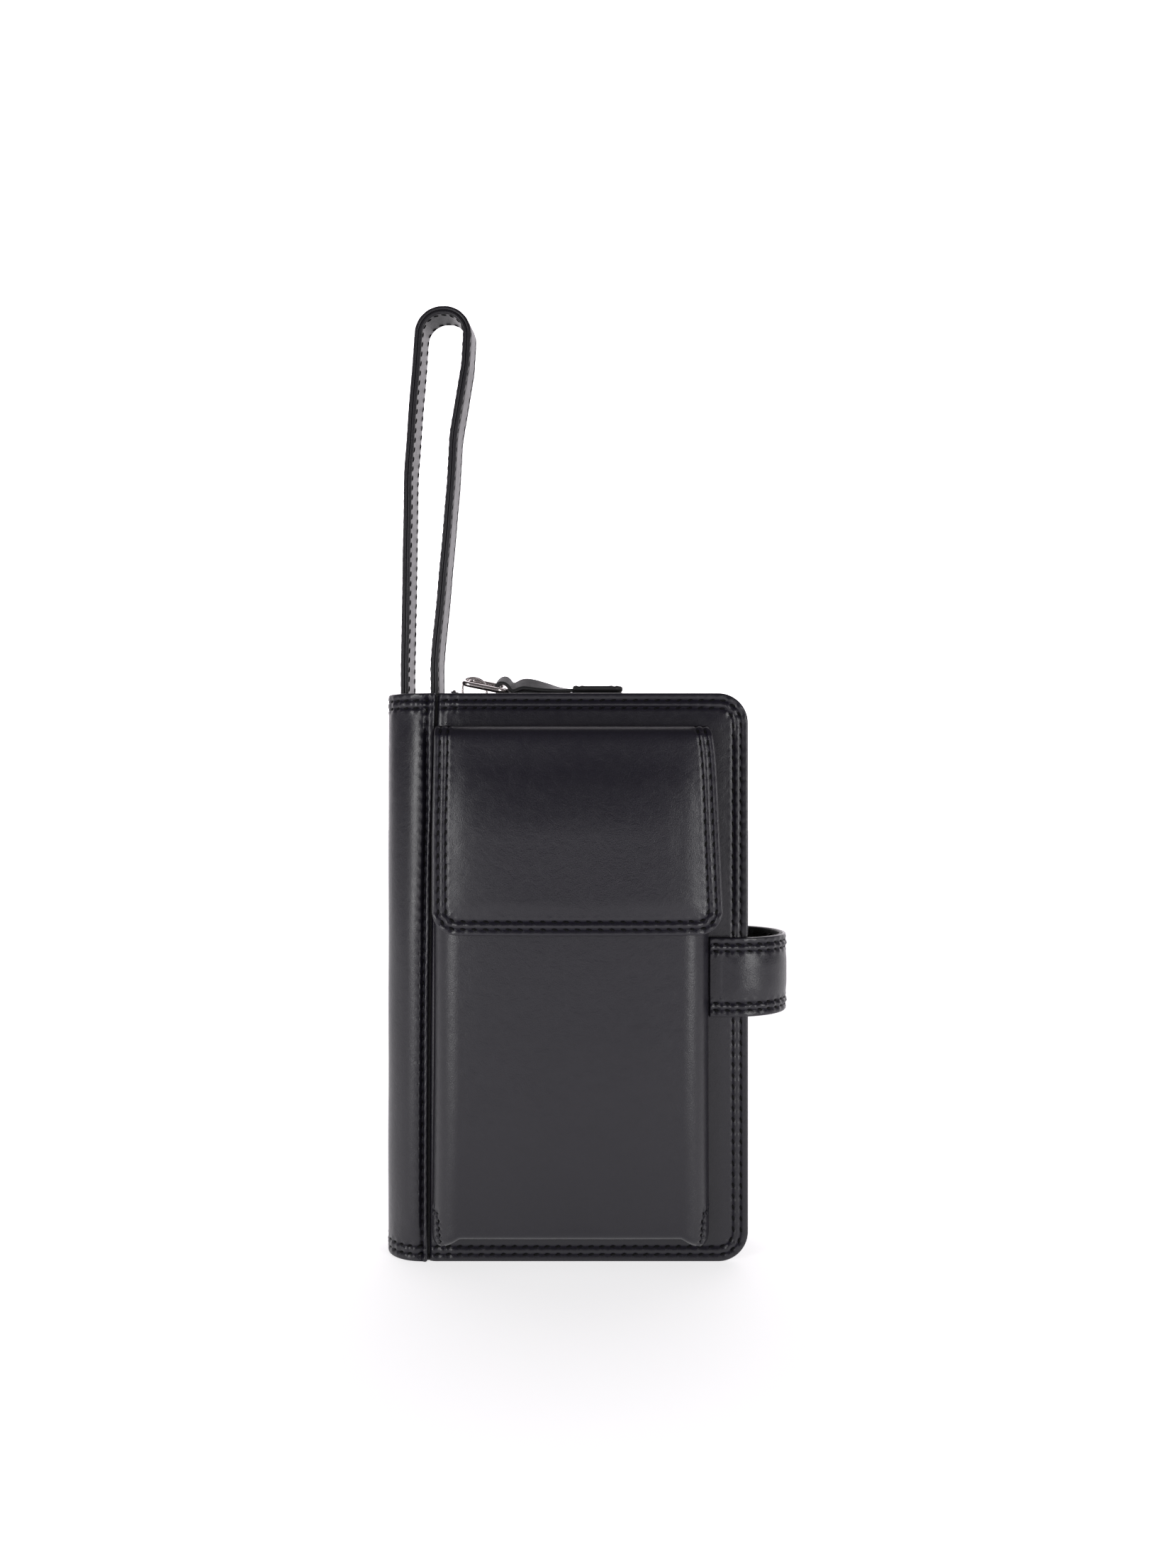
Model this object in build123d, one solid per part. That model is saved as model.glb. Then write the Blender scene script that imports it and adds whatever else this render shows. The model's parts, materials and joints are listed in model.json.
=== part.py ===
from build123d import *
import os

# A wristlet wallet: two stiff leather covers joined by a folding spine, with a zip pouch
# between them, a phone pocket and flap on the front, a snap tab round the free edge and a
# wrist strap out of the spine.  It is modelled closed and standing on its lower edge.
# Millimetres: X runs across the front to the free edge, Y from front to back, Z up.

# Overall
cover_height = 190.0
closed_thickness = 32.0             # outer face of one cover to outer face of the other
spine_x = -68.4                     # outer face of the spine
free_edge_x = 53.5                  # free edge of both covers
half_thickness = closed_thickness / 2

# Leather and linings
cover_leather = 1.2
cover_board = 0.8
cover_lining = 1.0
cover_corner = 10.0                 # radius of the covers' free corners
spine_corner = 4.0                  # radius at which the leather turns round the spine
seam_x = -52.0                      # where the spine leather meets the cover leather
fold_gap = 0.3                      # between neighbours that turn against each other
board_inset = 2.5

# Phone pocket on the front cover
pocket_x = (-51.2, 40.0)
pocket_z = (11.5, 176.5)
pocket_depth = 11.0
pocket_leather = 1.1
pocket_lining = 0.7
pocket_corner = 8.0

# Flap over the pocket's mouth
flap_x = (-50.6, 42.6)
flap_z = (110.7, 179.1)
flap_leather = 1.1
flap_lining = 0.9
flap_corner = 8.0
flap_tail_height = 12.0
magnet_radius = 6.0
magnet_z = 122.0

# Snap tab round the free edge
tab_z = (82.2, 108.5)
tab_layer = 1.1                     # each of its two layers
tab_reach_x = 68.4                  # outermost point of its bend
tab_bend = 12.2                     # inner radius of its two bends
tab_hinge_x = 46.3
tab_end_x = 29.0
tab_end_corner = 9.0
tab_stand_off = 3.0                 # behind the back cover, filled by the snap
snap_x = 40.0
snap_cap_radius = 6.2
snap_cap_height = 1.6
snap_cap_round = 1.1                   # radius of the cap's rim
snap_base_radius = 5.0                 # of the stud's plate and of the socket
snap_base_height = 0.8
snap_post_radius = 2.2
snap_post_height = 2.4                 # from the cover, plate included
snap_play = 0.2                        # between the post and the socket, all round

# Card slots inside the front cover, and the slip pocket inside the back cover
slot_x = (-45.0, 49.0)
slot_leather = 1.1
slot_count = 3
slot_step = 13.0
slot_top = 160.0
slot_floor = 12.0
slip_pocket_z = (6.0, 166.0)

# Zip pouch
pouch_x = (-48.0, 48.0)
pouch_y = (-6.0, 11.0)
pouch_z = (18.0, 188.4)
pouch_wall = 1.0
gusset_top = 186.0

# Zip
zip_y = (pouch_y[0] + pouch_y[1]) / 2
chain_z = (186.4, 188.6)
tape_z = (187.2, 187.8)
tooth_pitch = 3.0
tooth_length = 1.35
tooth_reach = 2.6                   # from the zip's centre line out to its tape
tooth_overlap = 0.6                 # past the centre line, into the other row
parted_shift = 1.8                  # how far the rows stand apart left of the slider
slider_x = (-43.0, -33.0)
slider_width = 9.0
slider_plate = 1.2
slider_corner = 2.0
slider_post_x = (-42.8, -41.0)         # it joins the plates between the parted rows
slider_post_width = 1.4
parted_pitch = 2.4                     # of the teeth left of the slider, which stand closer
parted_teeth = 2
parted_end_x = -43.2                   # where the tapes come back together
meshed_start_x = -39.5
stop_length = 2.2                      # of the stop at the zip's right end

# Pull ring, and the leather pull on it
ring_rod = 0.9
ring_pivot = (-42.4, 195.2)         # x and z of its rod inside the slider's bridge
ring_length = 13.7                  # between the middles of its end rods
ring_width = 12.5
ring_corner = 2.6
ring_droop = 11.4                   # degrees below level
bridge_width = 2.2
bridge_x = (-44.6, -38.0)
bridge_height = 2.1                    # above the middle of the ring's rod
bridge_window_x = (-42.4, -39.2)
eye_radius = 1.25
pull_width = 7.0
pull_thickness = 2.3
pull_loop = (1.8, 3.1)              # inner and outer radius round the ring
pull_low_x = -8.0                   # where the sloping strip has come down level
pull_low_z = 191.6
grip_x = (-5.3, 12.1)
grip_width = 9.0
grip_wall = 0.75
grip_corner = 1.5
strip_short = 1.2                      # the strip ends this far inside the grip
loop_neck = 0.9                        # from the loop's inner round to the two sewn layers

# Wrist strap
strap_width = 12.0
strap_layer = 1.35                  # each of its two layers
strap_turn = 5.0                    # degrees that its width is turned from square
strap_middle_x = -57.4
strap_floor = 160.0                 # lower end of the ends sewn into the spine
anchor_height = 12.0
strap_out_z = 190.4                 # where it leaves the spine
strap_swing_z = 200.0               # above this it swings as one piece
strap_route = [(-62.3, strap_swing_z), (-61.2, 268.0), (-56.9, 321.65), (-40.3, 321.65), (-41.3, 303.0),
               (-45.5, 279.0), (-46.4, 262.0), (-52.0, strap_swing_z)]
strap_bends = [90.0, 8.1, 8.1, 20.0, 40.0, 60.0]
strap_leg_x = (strap_route[0][0], strap_route[-1][0])

# How far the wallet reaches to the front and to the back of the plane midway between the
# covers.  The row frame's origin is under the middle of the whole box.
pocket_face = -half_thickness - pocket_depth
flap_inner = pocket_face - fold_gap
flap_face = flap_inner - flap_lining - flap_leather
tab_rear = half_thickness + tab_stand_off + 2 * tab_layer
core_y = -(flap_face + tab_rear + snap_cap_height) / 2


def block(x, y, z):
    """A box between pairs of limits."""
    size = Box(x[1] - x[0], y[1] - y[0], z[1] - z[0])
    return Pos((x[0] + x[1]) / 2, (y[0] + y[1]) / 2, (z[0] + z[1]) / 2) * size


def upright_panel(x, y, z, radius, ends):
    """A flat panel that faces Y, with the corners at the named ends of X or Z rounded."""
    panel = block(x, y, z)
    edges = panel.edges().filter_by(Axis.Y)
    axis, index = {"right": (Axis.X, -1), "left": (Axis.X, 0), "bottom": (Axis.Z, 0)}[ends]
    return fillet(edges.group_by(axis)[index], radius)


def disc(x, z, y, radius):
    """A round plate that faces Y."""
    plate = Cylinder(radius, y[1] - y[0])
    return Pos(x, (y[0] + y[1]) / 2, z) * Rot(90, 0, 0) * plate


def layered_cover(name, side):
    """One cover: leather, board and lining, from the outside in.  side is -1 front, +1 back."""
    nodes = {}
    outside = half_thickness
    layers = [("cover_panel", cover_leather, seam_x, 0.0),
              ("stiffener", cover_board, seam_x + board_inset, board_inset),
              ("lining", cover_lining, spine_x + spine_corner + 1.0, 0.0)]
    for layer, thickness, left, inset in layers:
        y = sorted([side * outside, side * (outside - thickness)])
        z = (inset, cover_height - inset)
        x = (left, free_edge_x - inset)
        nodes[f"{name}_{layer}"] = upright_panel(x, y, z, cover_corner - inset, "right")
        outside -= thickness
    strip_y = sorted([side * half_thickness, side * (half_thickness - cover_leather)])
    strip_x = (spine_x + spine_corner + fold_gap, seam_x)
    strip_name = {"front": "spine_front_strip", "back": "spine_rear_strip"}[name]
    nodes[strip_name] = block(strip_x, strip_y, (0, cover_height))
    return nodes


def card_slots():
    """Stepped card slots sewn to the lining inside the front cover, each over the last."""
    nodes = {}
    face = -half_thickness + cover_leather + cover_board + cover_lining
    for number in range(slot_count):
        y = (face + number * slot_leather, face + (number + 1) * slot_leather)
        z = (slot_floor, slot_top - number * slot_step)
        nodes[f"card_slot_{number + 1}"] = block(slot_x, y, z)
    return nodes


def spine():
    """The leather that turns round the spine between its two fold lines, and its lining."""
    height = (0, cover_height)

    def rounded_block(inset):
        reach = half_thickness - inset
        shape = block((spine_x + inset, 0), (-reach, reach), height)
        return fillet(shape.edges().filter_by(Axis.Z).group_by(Axis.X)[0], spine_corner - inset)
    turn = block((spine_x, spine_x + spine_corner), (-half_thickness, half_thickness), height)
    lining_y = half_thickness - spine_corner
    lining_x = (spine_x + cover_leather, spine_x + cover_leather + cover_lining)
    return {"spine_panel": (rounded_block(0.0) - rounded_block(cover_leather)) & turn,
            "spine_lining": block(lining_x, (-lining_y, lining_y), height)}


def turned_strap(shape):
    """Turn a piece of the wrist strap to the angle at which its width lies."""
    return shape.rotate(Axis((strap_middle_x, 0, 0), (0, 0, 1)), -strap_turn)


def strap_legs(z):
    """Both legs of the strap between two heights, straight and upright."""
    width = (-strap_width / 2, strap_width / 2)
    return [turned_strap(block((x - strap_layer, x + strap_layer), width, z)) for x in strap_leg_x]


def strap_loop_layer(side):
    """One layer of the loop above the swinging line.  side is +1 outside, -1 inside."""
    points = [(x, 0, z) for x, z in strap_route]
    route = FilletPolyline(*points, radius=strap_bends)
    start = Plane(origin=route @ 0, x_dir=(0, 1, 0), z_dir=route % 0)
    section = start * Pos(0, side * strap_layer / 2) * Rectangle(strap_width, strap_layer)
    return turned_strap(sweep(section, path=route))


def wrist_strap():
    """A two-layer strap folded into a loop, with both ends sewn to an anchor in the spine."""
    lining_x = spine_x + cover_leather + cover_lining
    width = (-strap_width / 2, strap_width / 2)
    anchor_z = (strap_floor, strap_floor + anchor_height)
    left, right = strap_leg_x
    between = turned_strap(block((left + strap_layer, right - strap_layer), width, anchor_z))
    backing = block((lining_x, left - strap_layer), width, anchor_z) - strap_legs(anchor_z)[0]
    return {"strap_anchor": Compound([between, backing.solid()]),
            "strap_sewn_ends": Compound(strap_legs((strap_floor, strap_out_z))),
            "strap_flex_roots": Compound(strap_legs((strap_out_z, strap_swing_z - fold_gap))),
            "strap_outer_layer": strap_loop_layer(1),
            "strap_inner_layer": strap_loop_layer(-1)}


def phone_pocket():
    """A boxed pocket on the front cover: front, lining, magnet and the gusset round it."""
    face = (pocket_face, pocket_face + pocket_leather)
    back = (face[1], face[1] + pocket_lining)
    front_wall = upright_panel(pocket_x, face, pocket_z, pocket_corner, "bottom")
    inset = pocket_leather
    lining_x = (pocket_x[0] + inset, pocket_x[1] - inset)
    lining_z = (pocket_z[0] + inset, pocket_z[1])
    lining = upright_panel(lining_x, back, lining_z, pocket_corner - inset, "bottom")
    magnet_x = (pocket_x[0] + pocket_x[1]) / 2
    magnet = disc(magnet_x, magnet_z, back, magnet_radius)
    gusset_y = (face[1], -half_thickness)
    outside = upright_panel(pocket_x, gusset_y, pocket_z, pocket_corner, "bottom")
    over_top = (lining_z[0], lining_z[1] + 1.0)
    inside = upright_panel(lining_x, gusset_y, over_top, pocket_corner - inset, "bottom")
    return {"phone_pocket_front": front_wall,
            "phone_pocket_lining": lining - magnet,
            "phone_pocket_magnet": magnet,
            "phone_pocket_gusset": outside - inside}


def flap():
    """The flap: a tail sewn inside the pocket's mouth, a level top and a hanging front."""
    thickness = flap_leather + flap_lining
    top = flap_z[1]
    seam = -half_thickness
    tail_z = (top - thickness - fold_gap - flap_tail_height, top - thickness - fold_gap)
    tail_x = (pocket_x[0] + 2.0, pocket_x[1] - 2.0)
    top_y = (flap_face + thickness + fold_gap, seam - 2 * fold_gap)
    front_z = (flap_z[0], top)
    leather_y = (flap_face, flap_face + flap_leather)
    lining_y = (leather_y[1], flap_inner)
    front_lining = upright_panel(flap_x, lining_y, front_z, flap_corner, "bottom")
    magnet = disc((pocket_x[0] + pocket_x[1]) / 2, magnet_z, lining_y, magnet_radius)
    return {"flap_tail": block(tail_x, (seam - flap_leather, seam), tail_z),
            "flap_top_leather": block(flap_x, top_y, (top - flap_leather, top)),
            "flap_top_lining": block(flap_x, top_y, (top - thickness, top - flap_leather)),
            "flap_front_leather": upright_panel(flap_x, leather_y, front_z, flap_corner, "bottom"),
            "flap_front_lining": front_lining - magnet,
            "flap_magnet": magnet}


def tab_layer_shape(depth):
    """One layer of the tab, from its hinge round the free edge to its end behind the wallet."""
    def bent_block(inset):
        x = (0, tab_reach_x - inset)
        y = (-half_thickness - fold_gap - 2 * tab_layer + inset, tab_rear - inset)
        shape = block(x, y, tab_z)
        radius = tab_bend + 2 * tab_layer - inset
        return fillet(shape.edges().filter_by(Axis.Z).group_by(Axis.X)[-1], radius)
    band = bent_block(depth) - bent_block(depth + tab_layer)
    front_arm = block((tab_hinge_x, tab_reach_x), (-closed_thickness, 0), tab_z)
    rear_arm = upright_panel((tab_end_x, tab_reach_x), (0, closed_thickness), tab_z, tab_end_corner, "left")
    return band & (front_arm + rear_arm)


def snap_tab():
    """The tab with its snap, the root it grows from, and the stud that it closes on."""
    root_y = (-half_thickness - 2 * tab_layer, -half_thickness)
    middle_z = (tab_z[0] + tab_z[1]) / 2
    base_top = half_thickness + snap_base_height
    post_top = half_thickness + snap_post_height
    stud = disc(snap_x, middle_z, (half_thickness, base_top), snap_base_radius)
    stud += disc(snap_x, middle_z, (base_top, post_top), snap_post_radius)
    socket_y = (base_top + 2 * snap_play, half_thickness + tab_stand_off)
    socket = disc(snap_x, middle_z, socket_y, snap_base_radius)
    socket -= disc(snap_x, middle_z, (base_top, post_top + snap_play), snap_post_radius + snap_play)
    cap = disc(snap_x, middle_z, (tab_rear, tab_rear + snap_cap_height), snap_cap_radius)
    rim = cap.edges().filter_by(GeomType.CIRCLE).group_by(Axis.Y)[-1]
    return {"tab_root": block((pocket_x[1] + fold_gap, tab_hinge_x - fold_gap), root_y, tab_z),
            "tab_outer_layer": tab_layer_shape(0.0),
            "tab_inner_layer": tab_layer_shape(tab_layer),
            "snap_stud": stud,
            "snap_socket": socket,
            "snap_cap": fillet(rim, snap_cap_round)}


def zip_pouch():
    """The zip pouch against the back cover's lining, and the slip pocket behind it."""
    front_y = (pouch_y[0], pouch_y[0] + pouch_wall)
    rear_y = (pouch_y[1] - pouch_wall, pouch_y[1])
    inside_y = (front_y[1], rear_y[0])
    shell = block(pouch_x, inside_y, (pouch_z[0], gusset_top))
    hollow_x = (pouch_x[0] + pouch_wall, pouch_x[1] - pouch_wall)
    shell -= block(hollow_x, inside_y, (pouch_z[0] + pouch_wall, gusset_top))
    slip_y = (pouch_y[1], half_thickness - cover_leather - cover_board - cover_lining)
    return {"pouch_front_wall": block(pouch_x, front_y, pouch_z),
            "pouch_rear_wall": block(pouch_x, rear_y, pouch_z),
            "pouch_gusset": shell,
            "back_slip_pocket": block(slot_x, slip_y, slip_pocket_z)}


def tooth(x, row, apart):
    """One zip tooth of the front (-1) or rear (+1) row, its row standing apart by a distance."""
    middle = zip_y + row * (apart + (tooth_reach - tooth_overlap) / 2)
    size = Box(tooth_length, tooth_reach + tooth_overlap, chain_z[1] - chain_z[0])
    return Pos(x, middle, sum(chain_z) / 2) * size


def zip_chain():
    """Two tapes and two rows of teeth, meshed to the right of the slider's post."""
    left, right = pouch_x[0] + pouch_wall, pouch_x[1] - pouch_wall
    teeth = []
    for row in (-1, 1):
        teeth += [tooth(left + tooth_length / 2 + number * parted_pitch, row, parted_shift)
                  for number in range(parted_teeth)]
        x = meshed_start_x if row < 0 else meshed_start_x + tooth_pitch / 2
        while x < right - tooth_pitch:
            teeth.append(tooth(x, row, 0.0))
            x += tooth_pitch
    inside_y = (pouch_y[0] + pouch_wall, pouch_y[1] - pouch_wall)
    tapes = []
    for row, wall in ((-1, inside_y[0]), (1, inside_y[1])):
        for x, apart in (((left, parted_end_x), parted_shift), ((parted_end_x, right), 0.0)):
            y = sorted([wall, zip_y + row * (tooth_reach + apart)])
            tapes.append(block(x, y, tape_z))
    front_tape, rear_tape = tapes[0] + tapes[1], tapes[2] + tapes[3]
    stop = block((right - stop_length, right), (zip_y - tooth_reach, zip_y + tooth_reach), chain_z)
    return {"zip_tapes": Compound([front_tape.solid(), rear_tape.solid()]),
            "zip_teeth": Compound([piece.solid() for piece in teeth]),
            "zip_bottom_stop": stop}


def zip_slider():
    """The slider: two plates joined by a post, with a bridge that holds the ring."""
    y = (zip_y - slider_width / 2, zip_y + slider_width / 2)
    top_z = (chain_z[1] + fold_gap, chain_z[1] + fold_gap + slider_plate)
    low_z = (chain_z[0] - fold_gap - slider_plate, chain_z[0] - fold_gap)
    post_y = (zip_y - slider_post_width / 2, zip_y + slider_post_width / 2)
    bridge_y = (zip_y - bridge_width / 2, zip_y + bridge_width / 2)
    eye_z = (ring_pivot[1] - eye_radius, ring_pivot[1] + eye_radius)
    body = upright_plate(slider_x, y, top_z) + upright_plate(slider_x, y, low_z)
    body += block(slider_post_x, post_y, (low_z[1], top_z[0]))
    bridge = block(bridge_x, bridge_y, (top_z[0], ring_pivot[1] + bridge_height))
    bridge = fillet(bridge.edges().filter_by(Axis.Y).group_by(Axis.Z)[-1], slider_corner)
    eye = disc(ring_pivot[0], ring_pivot[1], bridge_y, eye_radius)
    window = block(bridge_window_x, bridge_y, eye_z)
    return {"zip_slider": body + (bridge - eye - window)}


def upright_plate(x, y, z):
    """A level plate with its four upright edges rounded."""
    plate = block(x, y, z)
    return fillet(plate.edges().filter_by(Axis.Z), slider_corner)


def ring_end():
    """x and z of the middle of the ring's far rod, where the leather pull hangs."""
    reach = Vector(ring_length, 0, 0).rotate(Axis.Y, ring_droop)
    return ring_pivot[0] + reach.X, ring_pivot[1] + reach.Z


def pull_ring():
    """A rounded rectangle of round wire, drooping from the slider's bridge."""
    outline = RectangleRounded(ring_length, ring_width, ring_corner).face().outer_wire()
    start = Plane(origin=outline @ 0, z_dir=outline % 0)
    wire = sweep(start * Circle(ring_rod), path=outline)
    level = Pos(ring_length / 2, 0, 0) * wire
    drooping = level.rotate(Axis.Y, ring_droop)
    return {"pull_ring": Pos(ring_pivot[0], zip_y, ring_pivot[1]) * drooping}


def leather_pull():
    """A strip folded through the ring and sewn to itself, with a doubled grip at its end."""
    loop_x, loop_z = ring_end()
    inner, outer = pull_loop
    y = (zip_y - pull_width / 2, zip_y + pull_width / 2)
    start = (loop_x + inner + loop_neck, loop_z)
    half = pull_thickness / 2
    end_x = grip_x[1] - strip_short
    outline = [(start[0], start[1] - half), (start[0], start[1] + half), (pull_low_x, pull_low_z + half),
               (end_x, pull_low_z + half), (end_x, pull_low_z - half), (pull_low_x, pull_low_z - half)]
    side = Plane(origin=(0, y[1], 0), x_dir=(1, 0, 0), z_dir=(0, -1, 0))
    strip = extrude(side * Polygon(*outline, align=None), pull_width, dir=(0, -1, 0))
    strip += disc(loop_x, loop_z, y, outer)
    strip -= disc(loop_x, loop_z, y, inner)
    grip_y = (zip_y - grip_width / 2, zip_y + grip_width / 2)
    grip = block(grip_x, grip_y, (pull_low_z - half - grip_wall, pull_low_z + half + grip_wall))
    grip = fillet(grip.edges().filter_by(Axis.Z), grip_corner)
    grip -= block((grip_x[0], end_x), y, (pull_low_z - half, pull_low_z + half))
    return {"pull_strip": strip, "pull_grip": grip}


def main():
    nodes = {}
    for group in (layered_cover("front", -1), layered_cover("back", 1), card_slots(), spine(), wrist_strap(),
                  phone_pocket(), flap(), snap_tab(), zip_pouch(), zip_chain(), zip_slider(), pull_ring(),
                  leather_pull()):
        nodes.update(group)
    os.makedirs("parts", exist_ok=True)
    for name, shape in nodes.items():
        export_step(Pos(0, core_y, 0) * shape, f"parts/{name}.step")


main()
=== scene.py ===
import json
import math

import bmesh
import bpy
import numpy as np
from mathutils import Matrix, Vector, kdtree


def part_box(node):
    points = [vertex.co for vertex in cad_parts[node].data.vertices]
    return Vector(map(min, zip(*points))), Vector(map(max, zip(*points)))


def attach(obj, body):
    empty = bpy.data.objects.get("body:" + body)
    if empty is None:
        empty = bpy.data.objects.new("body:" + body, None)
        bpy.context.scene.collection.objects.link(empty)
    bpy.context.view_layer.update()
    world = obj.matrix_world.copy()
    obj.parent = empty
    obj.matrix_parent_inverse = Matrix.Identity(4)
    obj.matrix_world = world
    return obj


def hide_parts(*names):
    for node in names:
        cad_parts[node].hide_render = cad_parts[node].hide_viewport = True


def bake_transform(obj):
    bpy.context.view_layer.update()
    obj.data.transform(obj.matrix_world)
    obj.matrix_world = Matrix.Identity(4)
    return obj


# The looks of a black leather wristlet wallet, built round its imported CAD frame.
# Metres, in the row frame: X across the front, Y from front to back, Z up.

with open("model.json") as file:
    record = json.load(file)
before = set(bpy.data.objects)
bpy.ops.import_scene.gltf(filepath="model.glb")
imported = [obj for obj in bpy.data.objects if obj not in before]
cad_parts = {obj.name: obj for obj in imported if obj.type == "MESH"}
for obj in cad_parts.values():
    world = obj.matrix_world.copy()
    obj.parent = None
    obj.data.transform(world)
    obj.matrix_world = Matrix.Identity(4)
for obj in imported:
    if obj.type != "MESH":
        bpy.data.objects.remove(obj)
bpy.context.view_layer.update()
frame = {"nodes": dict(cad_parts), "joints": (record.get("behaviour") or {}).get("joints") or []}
mm = 0.001

# ---- places taken from the frame

cover_low, cover_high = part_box("front_cover_panel")
rear_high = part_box("back_cover_panel")[1]
spine_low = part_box("spine_panel")[0]
joint_place = {joint["name"]: Vector(joint["pos_m"]) for joint in frame["joints"] if "pos_m" in joint}

height = cover_high.z
front_face, rear_face = cover_low.y, rear_high.y
middle_y = (front_face + rear_face) / 2
free_edge = cover_high.x
side_x = spine_low.x
leather_thickness = cover_high.y - cover_low.y
cover_corner = 10 * mm

# ---- stitching and seams

stitch_pitch = 3.65 * mm
stitch_length = 2.7 * mm
stitch_width = 0.72 * mm
stitch_slant = 16.0                       # degrees
cover_insets = (2.4 * mm, 5 * mm)       # both rows of the covers, in from their edge
flap_insets = (2 * mm, 4.5 * mm)
tab_insets = (2.2 * mm, 4.5 * mm)
seam_top_x = -50.8 * mm                   # the spine leather's edge, which curves as it rises
seam_bottom_x = -53.6 * mm
seam_gap = 0.7 * mm                       # the dark gap from that edge to the cover's leather
seam_stitch_inset = 1.9 * mm
seam_top_inset = 3 * mm
seam_turn_z = 150 * mm                    # above this the seam's stitches lean away from the edge
spine_corner = 13 * mm                    # radius of the soft corners between spine and covers


def smooth(x):
    """Ease from 0 to 1 as x goes from 0 to 1."""
    x = np.clip(x, 0.0, 1.0)
    return x * x * (3 - 2 * x)


def bell(x):
    """1 at 0, falling off to either side within a distance of about 1."""
    return np.exp(-x * x)


def between(low, high):
    """The middle of a box."""
    return (low + high) / 2


def ripple(a, b, size, seed):
    """A smooth wandering field of about -1 to 1 over two coordinates, the same on every run."""
    random = np.random.default_rng(seed)
    total = np.zeros(np.broadcast(a, b).shape)
    for _ in range(7):
        angle, phase = random.uniform(0, 2 * math.pi, 2)
        wavelength = size * random.uniform(0.6, 1.7)
        total = total + np.sin((np.cos(angle) * a + np.sin(angle) * b) / wavelength * 2 * math.pi + phase)
    return total / 4


# ---- curves in a plane

def rounded(corners, radii):
    """The points of a line through corners, each inner corner rounded to its radius by an arc."""
    corners = np.array(corners, float)
    if np.isscalar(radii):
        radii = [radii] * (len(corners) - 2)
    points = [corners[0]]
    for before, corner, after, radius in zip(corners, corners[1:], corners[2:], radii):
        a, b = before - corner, after - corner
        a, b = a / np.linalg.norm(a), b / np.linalg.norm(b)
        half = math.acos(np.clip(a @ b, -1, 1)) / 2
        if radius <= 0 or half > math.pi / 2 - 1e-4:
            points.append(corner)
            continue
        middle = corner + (a + b) / np.linalg.norm(a + b) * radius / math.sin(half)
        start, end = corner + a * radius / math.tan(half), corner + b * radius / math.tan(half)
        for t in np.linspace(0, 1, 25):
            ray = (1 - t) * (start - middle) + t * (end - middle)
            points.append(middle + ray / np.linalg.norm(ray) * radius)
    points.append(corners[-1])
    return np.array(points)


def spline(points, samples=24):
    """A smooth curve through points, its tangents set by each point's neighbours."""
    points = np.array(points, float)
    ends = np.vstack([2 * points[0] - points[1], points, 2 * points[-1] - points[-2]])
    t = np.linspace(0, 1, samples, endpoint=False)[:, None]
    pieces = []
    for p0, p1, p2, p3 in zip(ends, ends[1:], ends[2:], ends[3:]):
        pieces.append(p1 + t * (p2 - p0) / 2 + t ** 2 * (p0 - 2.5 * p1 + 2 * p2 - p3 / 2)
                      + t ** 3 * (1.5 * (p1 - p2) + (p3 - p0) / 2))
    return np.vstack(pieces + [points[-1:]])


class Path:
    """A curve in a plane, measured along its length."""

    def __init__(self, points, spacing=0.4 * mm):
        points = np.array(points, float)
        length = np.concatenate([[0], np.cumsum(np.linalg.norm(np.diff(points, axis=0), axis=1))])
        keep = np.concatenate([[True], np.diff(length) > 1e-9])
        points, length = points[keep], length[keep]
        count = max(int(length[-1] / spacing), 4)
        self.s = np.linspace(0, length[-1], count + 1)
        self.points = np.stack([np.interp(self.s, length, points[:, k]) for k in (0, 1)], axis=1)
        tangents = np.gradient(self.points, self.s, axis=0)
        self.tangents = tangents / np.linalg.norm(tangents, axis=1)[:, None]
        self.length = self.s[-1]
        self.tree = None

    def at(self, s):
        """Points and tangents at distances s, going straight on past either end."""
        inside = np.clip(s, 0, self.length)
        tangents = np.stack([np.interp(inside, self.s, self.tangents[:, k]) for k in (0, 1)], axis=-1)
        tangents = tangents / np.linalg.norm(tangents, axis=-1)[..., None]
        points = np.stack([np.interp(inside, self.s, self.points[:, k]) for k in (0, 1)], axis=-1)
        return points + tangents * (s - inside)[..., None], tangents

    def nearest(self, u, v):
        """For each point, how far off the curve it is and how far along."""
        if self.tree is None:
            self.tree = kdtree.KDTree(len(self.points))
            for index, point in enumerate(self.points):
                self.tree.insert((point[0], point[1], 0), index)
            self.tree.balance()
        flat = np.stack([np.ravel(u), np.ravel(v)], axis=1)
        index = np.array([self.tree.find((a, b, 0))[1] for a, b in flat.tolist()])
        offset = flat - self.points[index]
        tangent = self.tangents[index]
        along = np.sum(offset * tangent, axis=1)
        across = offset[:, 0] * tangent[:, 1] - offset[:, 1] * tangent[:, 0]
        return np.abs(across).reshape(np.shape(u)), (self.s[index] + along).reshape(np.shape(u))


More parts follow.
